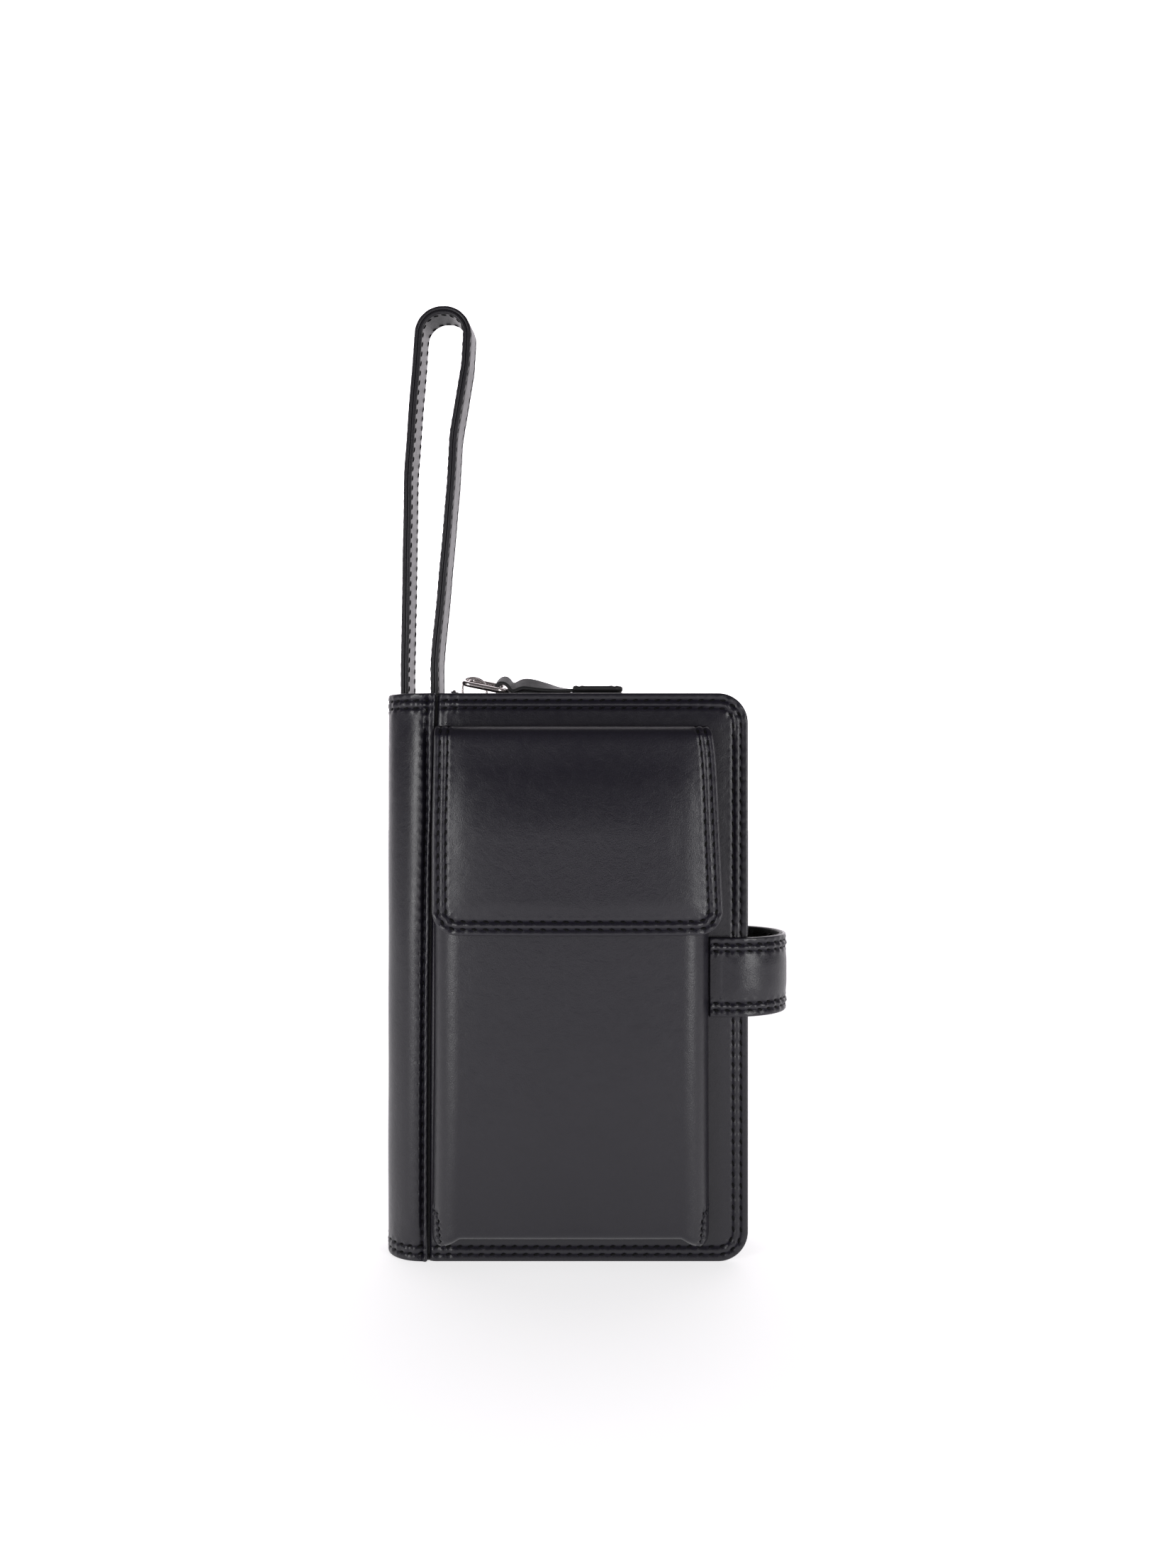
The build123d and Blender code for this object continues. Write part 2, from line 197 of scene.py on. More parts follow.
class Row(Path):
    """A row of stitches along a path: it pinches the leather into puckers between its holes."""

    def __init__(self, points, pitch=stitch_pitch, groove=0.50 * mm, pucker=0.17 * mm, thread=stitch_width):
        super().__init__(points)
        self.count = max(int(round(self.length / pitch)), 1)
        self.pitch = self.length / self.count
        self.groove, self.pucker, self.thread = groove, pucker, thread

    def relief(self, u, v):
        off, along = self.nearest(u, v)
        beyond = np.maximum(-along, along - self.length)
        fade = 1 - smooth(beyond / (1.5 * mm))
        wave = np.cos(2 * math.pi * along / self.pitch)      # 1 between stitches, -1 at their middles
        pinch = -self.groove * bell(off / (0.55 * mm)) * (0.70 - 0.30 * wave)
        rise = self.pucker * wave * bell((off - 0.9 * mm) / (0.7 * mm))
        return (pinch + rise) * fade

    def groove_shade(self, u, v):
        """1 along the row, down to 0 beside it: the mask of painted shade that dulls the leather to darken
        the stitch groove.
        """
        off, along = self.nearest(u, v)
        beyond = np.maximum(-along, along - self.length)
        return bell(off / (0.50 * mm)) * (1 - smooth(beyond / (1 * mm)))


# ---- sheets

rim_steps = 5                             # grid lines round a rolled edge
border_step = 0.45 * mm                   # grid of the stitched borders
panel_step = 2.5 * mm                     # grid of the plain sheets that lie inside
hinge_blend = 5 * mm                      # a distance from a hinge, set into the bend tuples


def stations(low, high, step, rim, border, joined=(False, False)):
    """Grid lines from low to high: close together at a rim, fine along the border, wider in the middle.

    joined tells which ends butt against the next piece and so stay square.
    """
    rounding = rim * (1 - np.cos(np.linspace(0, math.pi / 2, rim_steps)))
    square = np.array([0, 0.01, 0.02]) * mm
    starts = [square if flag else rounding for flag in joined]
    first, last = low + starts[0], high - starts[1][::-1]
    border = min(border, (last[0] - first[-1]) / 2)
    fine = np.arange(1, max(int(round(border / border_step)), 2) + 1)
    fine = fine * border / fine[-1]
    middle_low, middle_high = first[-1] + fine[-1], last[0] - fine[-1]
    count = max(int(math.ceil((middle_high - middle_low) / step - 1e-6)), 1)
    end = last[0] - fine[::-1]
    if middle_high - middle_low > 1e-7:
        middle = np.linspace(middle_low, middle_high, count + 1)[1:-1]
    else:
        middle, end = [], end[1:]
    return np.concatenate([first, first[-1] + fine, middle, end, last])


class Sheet:
    """A closed sheet cut flat in (u, v), whose place(u, v, w) bends it into the row frame.

    w is the height over its middle surface, and level lifts the whole sheet.  corners are the cut's
    corner radii, and joined_u tells which of its ends in u butt against another piece.
    """

    def __init__(self, u, v, thickness, place, corners=(0, 0, 0, 0), rows=(), relief=None, lean=None,
                 level=0.0, rim=0.5 * mm, step=1.3 * mm, border=7 * mm, joined_u=(False, False)):
        self.u, self.v, self.thickness, self.place = u, v, thickness, place
        self.corners = corners            # low u low v, high u low v, high u high v, low u high v
        self.rows, self.relief, self.lean, self.level = rows, relief, lean, level
        self.rim, self.step, self.border, self.joined_u = rim, step, border, joined_u

    def depth(self, u, v):
        """Distance in from the cut edge, leaving out the joined ends."""
        far = 1.0
        low_u, high_u = (end + sign * far * flag for end, sign, flag in zip(self.u, (-1, 1), self.joined_u))
        low_v, high_v = self.v
        nearer_low_u, nearer_low_v = u < sum(self.u) / 2, v < sum(self.v) / 2
        low_low, high_low, high_high, low_high = self.corners
        radius = np.where(nearer_low_u, np.where(nearer_low_v, low_low, low_high),
                          np.where(nearer_low_v, high_low, high_high))
        past_u = np.maximum(low_u - u, u - high_u) + radius
        past_v = np.maximum(low_v - v, v - high_v) + radius
        outside = np.hypot(np.maximum(past_u, 0), np.maximum(past_v, 0))
        return radius - outside - np.minimum(np.maximum(past_u, past_v), 0)

    def grid(self):
        """The cut's grid, its square corners drawn in to their radii."""
        u, v = np.meshgrid(stations(*self.u, self.step, self.rim, self.border, self.joined_u),
                           stations(*self.v, self.step, self.rim, self.border), indexing="ij")
        ends = ((0, 0), (1, 0), (1, 1), (0, 1))
        for (end_u, end_v), radius in zip(ends, self.corners):
            if radius <= 0:
                continue
            sign_u, sign_v = 2 * end_u - 1, 2 * end_v - 1
            centre_u, centre_v = self.u[end_u] - sign_u * radius, self.v[end_v] - sign_v * radius
            a, b = (u - centre_u) * sign_u / radius, (v - centre_v) * sign_v / radius
            inside = (a > 0) & (b > 0)
            bent_a = a * np.sqrt(1 - np.clip(b, 0, 1) ** 2 / 2)
            bent_b = b * np.sqrt(1 - np.clip(a, 0, 1) ** 2 / 2)
            u = np.where(inside, centre_u + sign_u * radius * bent_a, u)
            v = np.where(inside, centre_v + sign_v * radius * bent_b, v)
        return u, v

    def faces_at(self, u, v):
        """Heights of the upper and lower faces."""
        depth = self.depth(u, v)
        past = 1 - np.clip(depth / self.rim, 0, 1)
        half = self.thickness / 2 * np.sqrt(np.clip(1 - past * past, 0, 1))
        raised = sum(row.relief(u, v) for row in self.rows) if self.rows else 0.0
        shared = self.relief(u, v, depth) if self.relief else 0.0
        leaning = self.lean(depth) if self.lean else 0.0
        inner = smooth(depth / (1.2 * self.rim))
        base = self.level + shared + leaning
        return base + half + raised * inner, base - half

    def build(self, name):
        u, v = self.grid()
        upper, lower = self.faces_at(u, v)
        rows, columns = u.shape
        number = np.arange(rows * columns).reshape(u.shape)
        under = number.copy()
        under[1:-1, 1:-1] = rows * columns + np.arange((rows - 2) * (columns - 2)).reshape(rows - 2, -1)
        rim = np.ones(u.shape, bool)
        rim[1:-1, 1:-1] = False
        upper = np.where(rim, (upper + lower) / 2, upper)
        points = np.vstack([self.place(u.ravel(), v.ravel(), upper.ravel()),
                            self.place(*(a[1:-1, 1:-1].ravel() for a in (u, v, lower)))])

        def quads(index):
            corners = [index[:-1, :-1], index[1:, :-1], index[1:, 1:], index[:-1, 1:]]
            return np.stack(corners, axis=-1).reshape(-1, 4)
        piece = mesh_piece(name, points, np.vstack([quads(number), quads(under)[:, ::-1]]))
        # each point's painted shade along the stitch rows, for the leather's specular to be turned down
        # there
        if self.rows:
            groove_shade = np.zeros(len(points))
            groove_shade[:rows * columns] = np.max([row.groove_shade(u, v).ravel() for row in self.rows], axis=0)
            piece.data.attributes.new("groove_shade", "FLOAT", "POINT").data.foreach_set("value", groove_shade)
        return piece


def mesh_piece(name, points, faces, smooth_faces=True):
    """A mesh object whose faces all look outward."""
    mesh = bpy.data.meshes.new(name)
    mesh.from_pydata(np.asarray(points).tolist(), [], [list(face) for face in faces])
    shape = bmesh.new()
    shape.from_mesh(mesh)
    bmesh.ops.recalc_face_normals(shape, faces=shape.faces)
    shape.to_mesh(mesh)
    shape.free()
    mesh.polygons.foreach_set("use_smooth", [smooth_faces] * len(mesh.polygons))
    piece = bpy.data.objects.new(name, mesh)
    bpy.context.scene.collection.objects.link(piece)
    return piece


def stitches(name, sheet, row, below=False):
    """Every stitch of a row, each a slanting plump thread that dips into its two holes."""
    sides, rings = 8, 5
    lengthwise = np.linspace(-1, 1, rings + 2)[1:-1]
    turn = np.linspace(0, 2 * math.pi, sides, endpoint=False)
    plump = (1 - np.abs(lengthwise) ** 2.6) ** 0.5
    length = min(stitch_length, 0.75 * row.pitch)
    along = np.concatenate([[-1], np.repeat(lengthwise, sides), [1]]) * length / 2
    across = np.concatenate([[0], np.outer(plump, np.cos(turn)).ravel(), [0]]) * row.thread / 2
    up = np.concatenate([[0], np.outer(plump, np.sin(turn)).ravel(), [0]]) * row.thread / 2
    up = up + (0.22 - 0.33 * (2 * along / length) ** 2) * row.thread
    faces = []
    last = 1 + sides * rings
    for k in range(sides):
        step = (k + 1) % sides
        faces.append((0, 1 + step, 1 + k))
        faces.append((last, last - sides + k, last - sides + step))
        for ring in range(rings - 1):
            a = 1 + ring * sides
            faces.append((a + k, a + step, a + sides + step, a + sides + k))
    centres, tangents = row.at((np.arange(row.count) + 0.5) * row.pitch)
    angle = math.radians(stitch_slant)
    aside = np.stack([-tangents[:, 1], tangents[:, 0]], axis=1)
    forward = tangents * math.cos(angle) + aside * math.sin(angle)
    sideways = np.stack([-forward[:, 1], forward[:, 0]], axis=1)
    flat = centres[:, None] + along[:, None] * forward[:, None] + across[:, None] * sideways[:, None]
    upper, lower = sheet.faces_at(centres[:, 0], centres[:, 1])
    level = lower[:, None] - up if below else upper[:, None] + up
    points = sheet.place(flat[..., 0].ravel(), flat[..., 1].ravel(), level.ravel())
    size = len(along)
    every = [tuple(corner + size * number for corner in face)
             for number in range(row.count) for face in faces]
    return mesh_piece(name, points, every)


# ---- ways of bending a sheet

def seam_x(z):
    """Where the spine leather's edge lies on a cover at height z."""
    return seam_bottom_x + (seam_top_x - seam_bottom_x) * np.clip(np.asarray(z) / height, 0, 1) ** 3


def facing(y, outward, skew=False):
    """A sheet that stands in a plane of constant y; its outer face looks along outward (-1 or 1).

    With skew, its low-u edge follows the slanting seam on the cover.
    """
    def place(u, v, w):
        x = u
        if skew:
            x = u + (seam_x(v) - seam_bottom_x) * (1 - smooth((u - seam_bottom_x) / (30 * mm)))
        return np.stack([x, np.full_like(u, y) + outward * w, v], axis=-1)
    return place


def along_curve(path, axis, flare=None):
    """A sheet whose u runs along a curve, with w to the curve's left, and v along the axis.

    The curve lies in the plane of the other two axes.  flare(u, v) may widen or narrow it along v.
    """
    def place(u, v, w):
        point, tangent = path.at(u)
        a = point[..., 0] - tangent[..., 1] * w
        b = point[..., 1] + tangent[..., 0] * w
        v = flare(u, v) if flare else v
        return np.stack({"z": (a, b, v), "x": (v, a, b), "y": (a, v, b)}[axis], axis=-1)
    return place


# ---- materials

def principled(name, colour, roughness, **inputs):
    material = bpy.data.materials.new(name)
    material.use_nodes = True
    shader = material.node_tree.nodes["Principled BSDF"]
    shader.inputs["Base Color"].default_value = (*colour, 1)
    shader.inputs["Roughness"].default_value = roughness
    for key, value in inputs.items():
        shader.inputs[key.replace("_", " ")].default_value = value
    return material, shader


def texture(material, kind, scale, **settings):
    """A procedural texture in object space."""
    tree = material.node_tree
    node = tree.nodes.new(kind)
    coordinates = tree.nodes.get("Texture Coordinate") or tree.nodes.new("ShaderNodeTexCoord")
    tree.links.new(coordinates.outputs["Object"], node.inputs["Vector"])
    node.inputs["Scale"].default_value = scale
    for key, value in settings.items():
        if key in node.inputs:
            node.inputs[key].default_value = value
        else:
            setattr(node, key, value)
    return node


def ramp(material, source, low, high):
    """Spread a texture's value of 0..1 over low..high."""
    node = material.node_tree.nodes.new("ShaderNodeMapRange")
    node.inputs["To Min"].default_value = low
    node.inputs["To Max"].default_value = high
    material.node_tree.links.new(source, node.inputs["Value"])
    return node.outputs["Result"]


def bump(material, shader, layers):
    """Stack bump layers, each (height socket, strength, depth in metres)."""
    tree = material.node_tree
    normal = None
    for source, strength, distance in layers:
        node = tree.nodes.new("ShaderNodeBump")
        node.inputs["Strength"].default_value = strength
        node.inputs["Distance"].default_value = distance
        tree.links.new(source, node.inputs["Height"])
        if normal is not None:
            tree.links.new(normal, node.inputs["Normal"])
        normal = node.outputs["Normal"]
    tree.links.new(normal, shader.inputs["Normal"])


def mix_colours(material, shader, factor, dark, light):
    node = material.node_tree.nodes.new("ShaderNodeMix")
    node.data_type = "RGBA"
    node.inputs["A"].default_value = (*dark, 1)
    node.inputs["B"].default_value = (*light, 1)
    material.node_tree.links.new(factor, node.inputs["Factor"])
    material.node_tree.links.new(node.outputs["Result"], shader.inputs["Base Color"])


def leather_material(name, dark, light, roughness, grain=1.0, shine=0.5):
    """Smooth nappa: a fine pebbled grain, faint creases, uneven dye, and painted shade along the stitch
    rows, where the specular is turned down.
    """
    material, shader = principled(name, dark, roughness)
    dye = texture(material, "ShaderNodeTexNoise", 55.0, Detail=5.0, Roughness=0.6)
    pebbles = texture(material, "ShaderNodeTexVoronoi", 1500.0, feature="DISTANCE_TO_EDGE")
    pores = texture(material, "ShaderNodeTexNoise", 2600.0, Detail=3.0)
    creases = texture(material, "ShaderNodeTexNoise", 210.0, Detail=7.0, Roughness=0.7, Distortion=0.9)
    mix_colours(material, shader, dye.outputs["Fac"], dark, light)
    links = material.node_tree.links
    links.new(ramp(material, creases.outputs["Fac"], roughness - 0.08, roughness + 0.10),
              shader.inputs["Roughness"])
    # painted shade: the stitch rows' mask turns the specular down, darkening the grooves
    groove_shade_attribute = material.node_tree.nodes.new("ShaderNodeAttribute")
    groove_shade_attribute.attribute_name = "groove_shade"
    links.new(ramp(material, groove_shade_attribute.outputs["Fac"], shine, 0.06), shader.inputs["Specular IOR Level"])
    bump(material, shader, [(creases.outputs["Fac"], 0.34 * grain, 0.38 * mm),
                            (pebbles.outputs["Distance"], 0.32 * grain, 0.10 * mm),
                            (pores.outputs["Fac"], 0.30 * grain, 0.08 * mm)])
    return material


def fabric_material(name, dark, light, scale):
    """A close plain weave."""
    material, shader = principled(name, dark, 0.8, Sheen_Weight=0.25, Sheen_Roughness=0.5)
    warp = texture(material, "ShaderNodeTexWave", scale, bands_direction="X")
    weft = texture(material, "ShaderNodeTexWave", scale, bands_direction="Z")
    weave = material.node_tree.nodes.new("ShaderNodeMath")
    weave.operation = "MULTIPLY"
    material.node_tree.links.new(warp.outputs["Fac"], weave.inputs[0])
    material.node_tree.links.new(weft.outputs["Fac"], weave.inputs[1])
    mix_colours(material, shader, weave.outputs["Value"], dark, light)
    bump(material, shader, [(weave.outputs["Value"], 0.35, 0.10 * mm)])
    return material


def metal_material(name, colour, roughness):
    """Plated metal with faint handling marks."""
    material, shader = principled(name, colour, roughness, Metallic=1.0)
    marks = texture(material, "ShaderNodeTexNoise", 700.0, Detail=5.0, Roughness=0.7)
    material.node_tree.links.new(ramp(material, marks.outputs["Fac"], roughness - 0.06, roughness + 0.12),
                                 shader.inputs["Roughness"])
    bump(material, shader, [(marks.outputs["Fac"], 0.08, 0.05 * mm)])
    return material


def thread_material():
    """Waxed twisted thread."""
    material, shader = principled("thread", (0.003, 0.003, 0.003), 0.6, Specular_IOR_Level=0.1)
    twist = texture(material, "ShaderNodeTexWave", 1100.0, bands_direction="DIAGONAL")
    bump(material, shader, [(twist.outputs["Fac"], 0.5, 0.10 * mm)])
    mix_colours(material, shader, twist.outputs["Fac"], (0.0015, 0.0015, 0.0015), (0.005, 0.005, 0.005))
    return material


def board_material():
    """Grey-brown bookbinding board."""
    material, shader = principled("board", (0.3, 0.25, 0.2), 0.85)
    fibres = texture(material, "ShaderNodeTexNoise", 900.0, Detail=6.0, Roughness=0.8)
    mix_colours(material, shader, fibres.outputs["Fac"], (0.22, 0.18, 0.14), (0.38, 0.32, 0.25))
    bump(material, shader, [(fibres.outputs["Fac"], 0.3, 0.1 * mm)])
    return material


leather = leather_material("leather", (0.0052, 0.0045, 0.0088), (0.0088, 0.0077, 0.0130), 0.31)
inner_leather = leather_material("inner_leather", (0.008, 0.008, 0.009), (0.014, 0.014, 0.015), 0.55, 1.4)
strap_leather = leather_material("strap_leather", (0.008, 0.0075, 0.010), (0.013, 0.012, 0.015), 0.38,
                                 grain=0.8, shine=0.3)
lining_cloth = fabric_material("lining", (0.014, 0.014, 0.015), (0.022, 0.022, 0.024), 900.0)
tape_cloth = fabric_material("zip_tape", (0.006, 0.006, 0.007), (0.022, 0.022, 0.024), 1300.0)
gunmetal = metal_material("gunmetal", (0.62, 0.57, 0.56), 0.20)
magnet_steel = metal_material("magnet", (0.5, 0.5, 0.5), 0.3)
thread = thread_material()
board = board_material()


def dress(piece, material, moves_with, *replaced):
    """Give a piece its finish, and parent it to the body that it moves with; a piece given a joint's two
    bodies is only baked in place.
    """
    piece.data.materials.clear()
    piece.data.materials.append(material)
    if isinstance(moves_with, str):
        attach(piece, moves_with)
    else:
        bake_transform(piece)
    if replaced:
        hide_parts(*replaced)
    return piece


def sew(name, sheet, rows, moves_with, below=False):
    """Stitch each row on a sheet, as pieces of thread work."""
    for number, row in enumerate(rows):
        dress(stitches(f"{name}_{number + 1}", sheet, row, below), thread, moves_with)


# ---- round and lumpy meshes

def bands(rings, around, closed=False):
    """Faces between each ring of points and the next, and from the last to the first if closed."""
    faces = []
    for ring in range(rings if closed else rings - 1):
        here, after = ring * around, (ring + 1) % rings * around
        for step in range(around):
            beside = (step + 1) % around
            faces.append((here + step, here + beside, after + beside, after + step))
    return faces


def signed_power(value, exponent):
    return math.copysign(abs(value) ** exponent, value)


def pebble(centre, size, power=5, around=12, levels=7):
    """A box-like lump with soft edges: a superellipsoid."""
    exponent = 2 / power
    points = []
    for level in range(1, levels):
        latitude = -math.pi / 2 + math.pi * level / levels
        for step in range(around):
            longitude = 2 * math.pi * step / around
            flat = signed_power(math.cos(latitude), exponent)
            points.append((centre[0] + size[0] / 2 * flat * signed_power(math.cos(longitude), exponent),
                           centre[1] + size[1] / 2 * flat * signed_power(math.sin(longitude), exponent),
                           centre[2] + size[2] / 2 * signed_power(math.sin(latitude), exponent)))
    caps = [tuple(range(around - 1, -1, -1)), tuple(range(len(points) - around, len(points)))]
    return points, caps + bands(levels - 1, around)


def lumps_piece(name, lumps):
    """Several lumps, each (points, faces), as one mesh object."""
    points, faces = [], []
    for lump_points, lump_faces in lumps:
        faces += [tuple(corner + len(points) for corner in face) for face in lump_faces]
        points += lump_points
    return mesh_piece(name, points, faces)


def turned_piece(name, profile, centre, sides=48):
    """A profile of (radius, y) turned about an axis along Y."""
    points = []
    for radius, y in profile:
        for step in range(sides):
            angle = 2 * math.pi * step / sides
            points.append((centre.x + radius * math.cos(angle), y, centre.z + radius * math.sin(angle)))
    caps = [tuple(range(sides)), tuple(range(len(points) - sides, len(points)))]
    return mesh_piece(name, points, bands(len(profile), sides) + caps)


# ---- covers

def border_rows(insets, open_u, end_u, first_v, last_v, corner):
    """Rows in from three edges: along the first, round the end at end_u and back along the last."""
    rows = []
    for inset in insets:
        in_u, in_v = math.copysign(inset, open_u - end_u), math.copysign(inset, last_v - first_v)
        route = [(open_u, first_v + in_v), (end_u + in_u, first_v + in_v),
                 (end_u + in_u, last_v - in_v), (open_u, last_v - in_v)]
        rows.append(Row(rounded(route, corner - inset)))
    return rows


def cover(name, face_y, outward):
    """A cover's outer leather, with its two border rows, over a lining whose rim closes up to it."""
    low_u = seam_bottom_x + seam_gap
    rows = border_rows(cover_insets, low_u + 0.8 * mm, free_edge, height, 0.0, cover_corner)

    def relief(u, v, depth):
        ridge = bell((depth - sum(cover_insets) / 2) / (0.9 * mm)) * 0.22 * mm
        panel = 0.25 * mm * smooth((depth - 5.5 * mm) / (5 * mm))
        dip = -0.55 * mm * bell((u - low_u) / (1 * mm))
        slack = 0.12 * mm * ripple(u, v, 45 * mm, 3) * smooth(depth / (12 * mm))
        return ridge + panel + dip + slack
    place = facing(face_y - outward * leather_thickness / 2, outward, skew=True)
    sheet = Sheet((low_u, free_edge), (0.0, height), leather_thickness, place,
                  (0, cover_corner, cover_corner, 0), rows, relief, rim=0.7 * mm)
    dress(sheet.build(f"{name}_cover"), leather, name, f"{name}_cover_panel")
    sew(f"{name}_border_stitches", sheet, rows, name)

    low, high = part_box(f"{name}_lining")
    clear_of_spine = 5.5 * mm
    inner = Sheet((low.x + clear_of_spine, high.x), (0.0, height), high.y - low.y,
                  facing(between(low, high).y, outward), (0, cover_corner, cover_corner, 0), step=panel_step,
                  lean=lambda depth: 0.75 * mm * (1 - smooth((depth - 0.4 * mm) / (2 * mm))))
    dress(inner.build(f"{name}_inside"), inner_leather, name, f"{name}_lining")


# ---- spine

def spine_half(side, body, face_y, outward, replaced):
    """Half of the spine, from its middle round the corner to the cover's seam: leather and lining."""
    path = Path(rounded([(side_x, middle_y), (side_x, face_y), (seam_bottom_x, face_y)], spine_corner))
    length = path.length
    straight = along_curve(path, "z")

    def place(u, v, w):
        points = straight(u, v, w * outward)
        slant = (seam_x(v) - seam_bottom_x) * smooth((u - length + 22 * mm) / (22 * mm))
        points[..., 0] += slant
        return points
    seam_u, margin = length - seam_stitch_inset, 0.6 * mm
    seam = Row([(seam_u, margin), (seam_u, seam_turn_z), (length - seam_top_inset, height - margin)],
               groove=0.95 * mm, pucker=0.16 * mm)
    ends = [Row([(0.0, z), (length - 1 * mm, z)])
            for inset in cover_insets for z in (height - inset, inset)]

    def relief(u, v, depth):
        to_end = np.minimum(v, height - v)
        along_height = smooth((to_end - 4 * mm) / (12 * mm))
        to_seam = np.interp(v, seam.points[:, 1], seam.points[:, 0]) - u
        puff = 0.9 * mm * bell((to_seam - 2 * mm) / (5 * mm)) * smooth((to_seam + 0.1 * mm) / (0.8 * mm))
        lip = 0.45 * mm * smooth(-to_seam / (1 * mm))
        ridges = 0.10 * mm * ripple(u, v * 0.04, 1.6 * mm, 5) * smooth(-to_seam / (0.8 * mm))
        wander = 0.14 * mm * ripple(u, v * 0.35, 18 * mm, 11) * along_height * smooth(to_seam / (5 * mm))
        creases = 0.07 * mm * ripple(u, v * 0.15, 4 * mm, 7) * bell((to_end - 8 * mm) / (4 * mm))
        tuck = (puff * along_height + wander + creases * smooth(to_seam / (2 * mm))) * smooth(u / (7 * mm))
        return tuck + lip + ridges
    bend = ("spine", body, (side_x, face_y - outward * 9 * mm, 0), (side_x + spine_corner, face_y, 0))
    sheet = Sheet((0.0, length), (0.0, height), 1.25 * mm, place, (0, 0.8 * mm, 0.8 * mm, 0),
                  [seam] + ends, relief, level=-0.5 * mm, step=0.9 * mm, joined_u=(True, False))
    dress(sheet.build(f"spine_leather_{side}"), leather, bend, *replaced)
    sew(f"spine_stitches_{side}", sheet, [seam] + ends, bend)

    inner = Sheet((0.0, length - 3.5 * mm), (0.0, height), 0.8 * mm, place, level=-1.7 * mm,
                  step=2 * mm, joined_u=(True, False))
    dress(inner.build(f"spine_inside_{side}"), inner_leather, bend,
          *(["spine_lining"] if side == "front" else []))


def strap_anchor():
    """A leather band round both sewn ends of the wrist strap, inside the spine."""
    low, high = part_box("strap_anchor")
    loop = [(low.x + 4 * mm, low.y), (high.x, low.y), (high.x, high.y), (low.x, high.y),
            (low.x, low.y), (low.x + 8 * mm, low.y - 0.9 * mm)]
    path = Path(rounded(loop, [2 * mm, 2 * mm, 2 * mm, 1.5 * mm]))
    row = [Row([(1 * mm, z), (path.length - 1 * mm, z)]) for z in (low.z + 2 * mm, high.z - 2 * mm)]
    band = Sheet((0.0, path.length), (low.z, high.z), 0.9 * mm, along_curve(path, "z"), rows=row)
    dress(band.build("strap_anchor_band"), inner_leather, "spine", "strap_anchor")


# ---- inside

inside_corner = 6 * mm                    # of the pockets and the pouch


def hem_row(low, high, inset, groove):
    """A row of stitches just under an upright sheet's upper edge."""
    return Row([(low.x + 1 * mm, high.z - inset), (high.x - 1 * mm, high.z - inset)], groove=groove)


def pocket_sheet(name, node, outward, body, thickness):
    """A flat pocket's leather, stitched along its upper edge and round its other three."""
    low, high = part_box(node)
    inset, turn = 1.8 * mm, 4 * mm
    around = [(low.x + inset, high.z - turn), (low.x + inset, low.z + inset),
              (high.x - inset, low.z + inset), (high.x - inset, high.z - turn)]
    rows = [hem_row(low, high, inset, 0.15 * mm), Row(rounded(around, turn))]

    def relief(u, v, depth):
        return 0.10 * mm * ripple(u, v, 40 * mm, 21) * smooth(depth / (8 * mm))
    sheet = Sheet((low.x, high.x), (low.z, high.z), thickness, facing(between(low, high).y, outward),
                  (inside_corner, inside_corner, 0, 0), rows, relief, step=panel_step)
    dress(sheet.build(name), inner_leather, body, node)
    sew(f"{name}_stitches", sheet, rows, body)


def inside():
    """Three stepped card pockets on the front cover and a slip pocket on the back one."""
    for number in (1, 2, 3):
        pocket_sheet(f"card_pocket_{number}", f"card_slot_{number}", 1, "front", 0.9 * mm)
    pocket_sheet("slip_pocket", "back_slip_pocket", -1, "back", 1.2 * mm)


def zip_rise(x):
    """How much higher the zip runs at its upper left end, where it turns up out of the pouch."""
    return 3.6 * mm * smooth((-41 * mm - x) / (5 * mm))


def zip_pouch():
    """The cloth pouch between the covers: two walls and a gusset folded inward."""
    def slack(u, v, depth):
        return 0.25 * mm * ripple(u, v, 30 * mm, 31) * smooth(depth / (6 * mm))
    for side, outward in (("front", -1), ("rear", 1)):
        node = f"pouch_{side}_wall"
        low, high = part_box(node)
        row = hem_row(low, high, 2.2 * mm, 0.2 * mm)
        wall = Sheet((low.x, high.x), (low.z, high.z), 0.9 * mm, facing(between(low, high).y, outward),
                     (inside_corner, inside_corner, 0, 0), [row], slack, step=2 * mm)
        dress(wall.build(f"pouch_cloth_{side}"), lining_cloth, "back", node)
        sew(f"pouch_stitches_{side}", wall, [row], "back")
    low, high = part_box("pouch_gusset")
    inset, overlap = 0.6 * mm, 0.4 * mm
    path = Path(rounded([(low.x + inset, high.z), (low.x + inset, low.z + inset),
                         (high.x - inset, low.z + inset), (high.x - inset, high.z)], inside_corner))

    def tuck(u, v, depth):
        return 4 * mm * np.maximum(1 - np.abs(v - between(low, high).y) / (7 * mm), 0)
    gusset = Sheet((0.0, path.length), (low.y - overlap, high.y + overlap), 0.8 * mm,
                   along_curve(path, "y"), relief=tuck, step=2 * mm)
    dress(gusset.build("pouch_gusset_cloth"), lining_cloth, "back", "pouch_gusset")


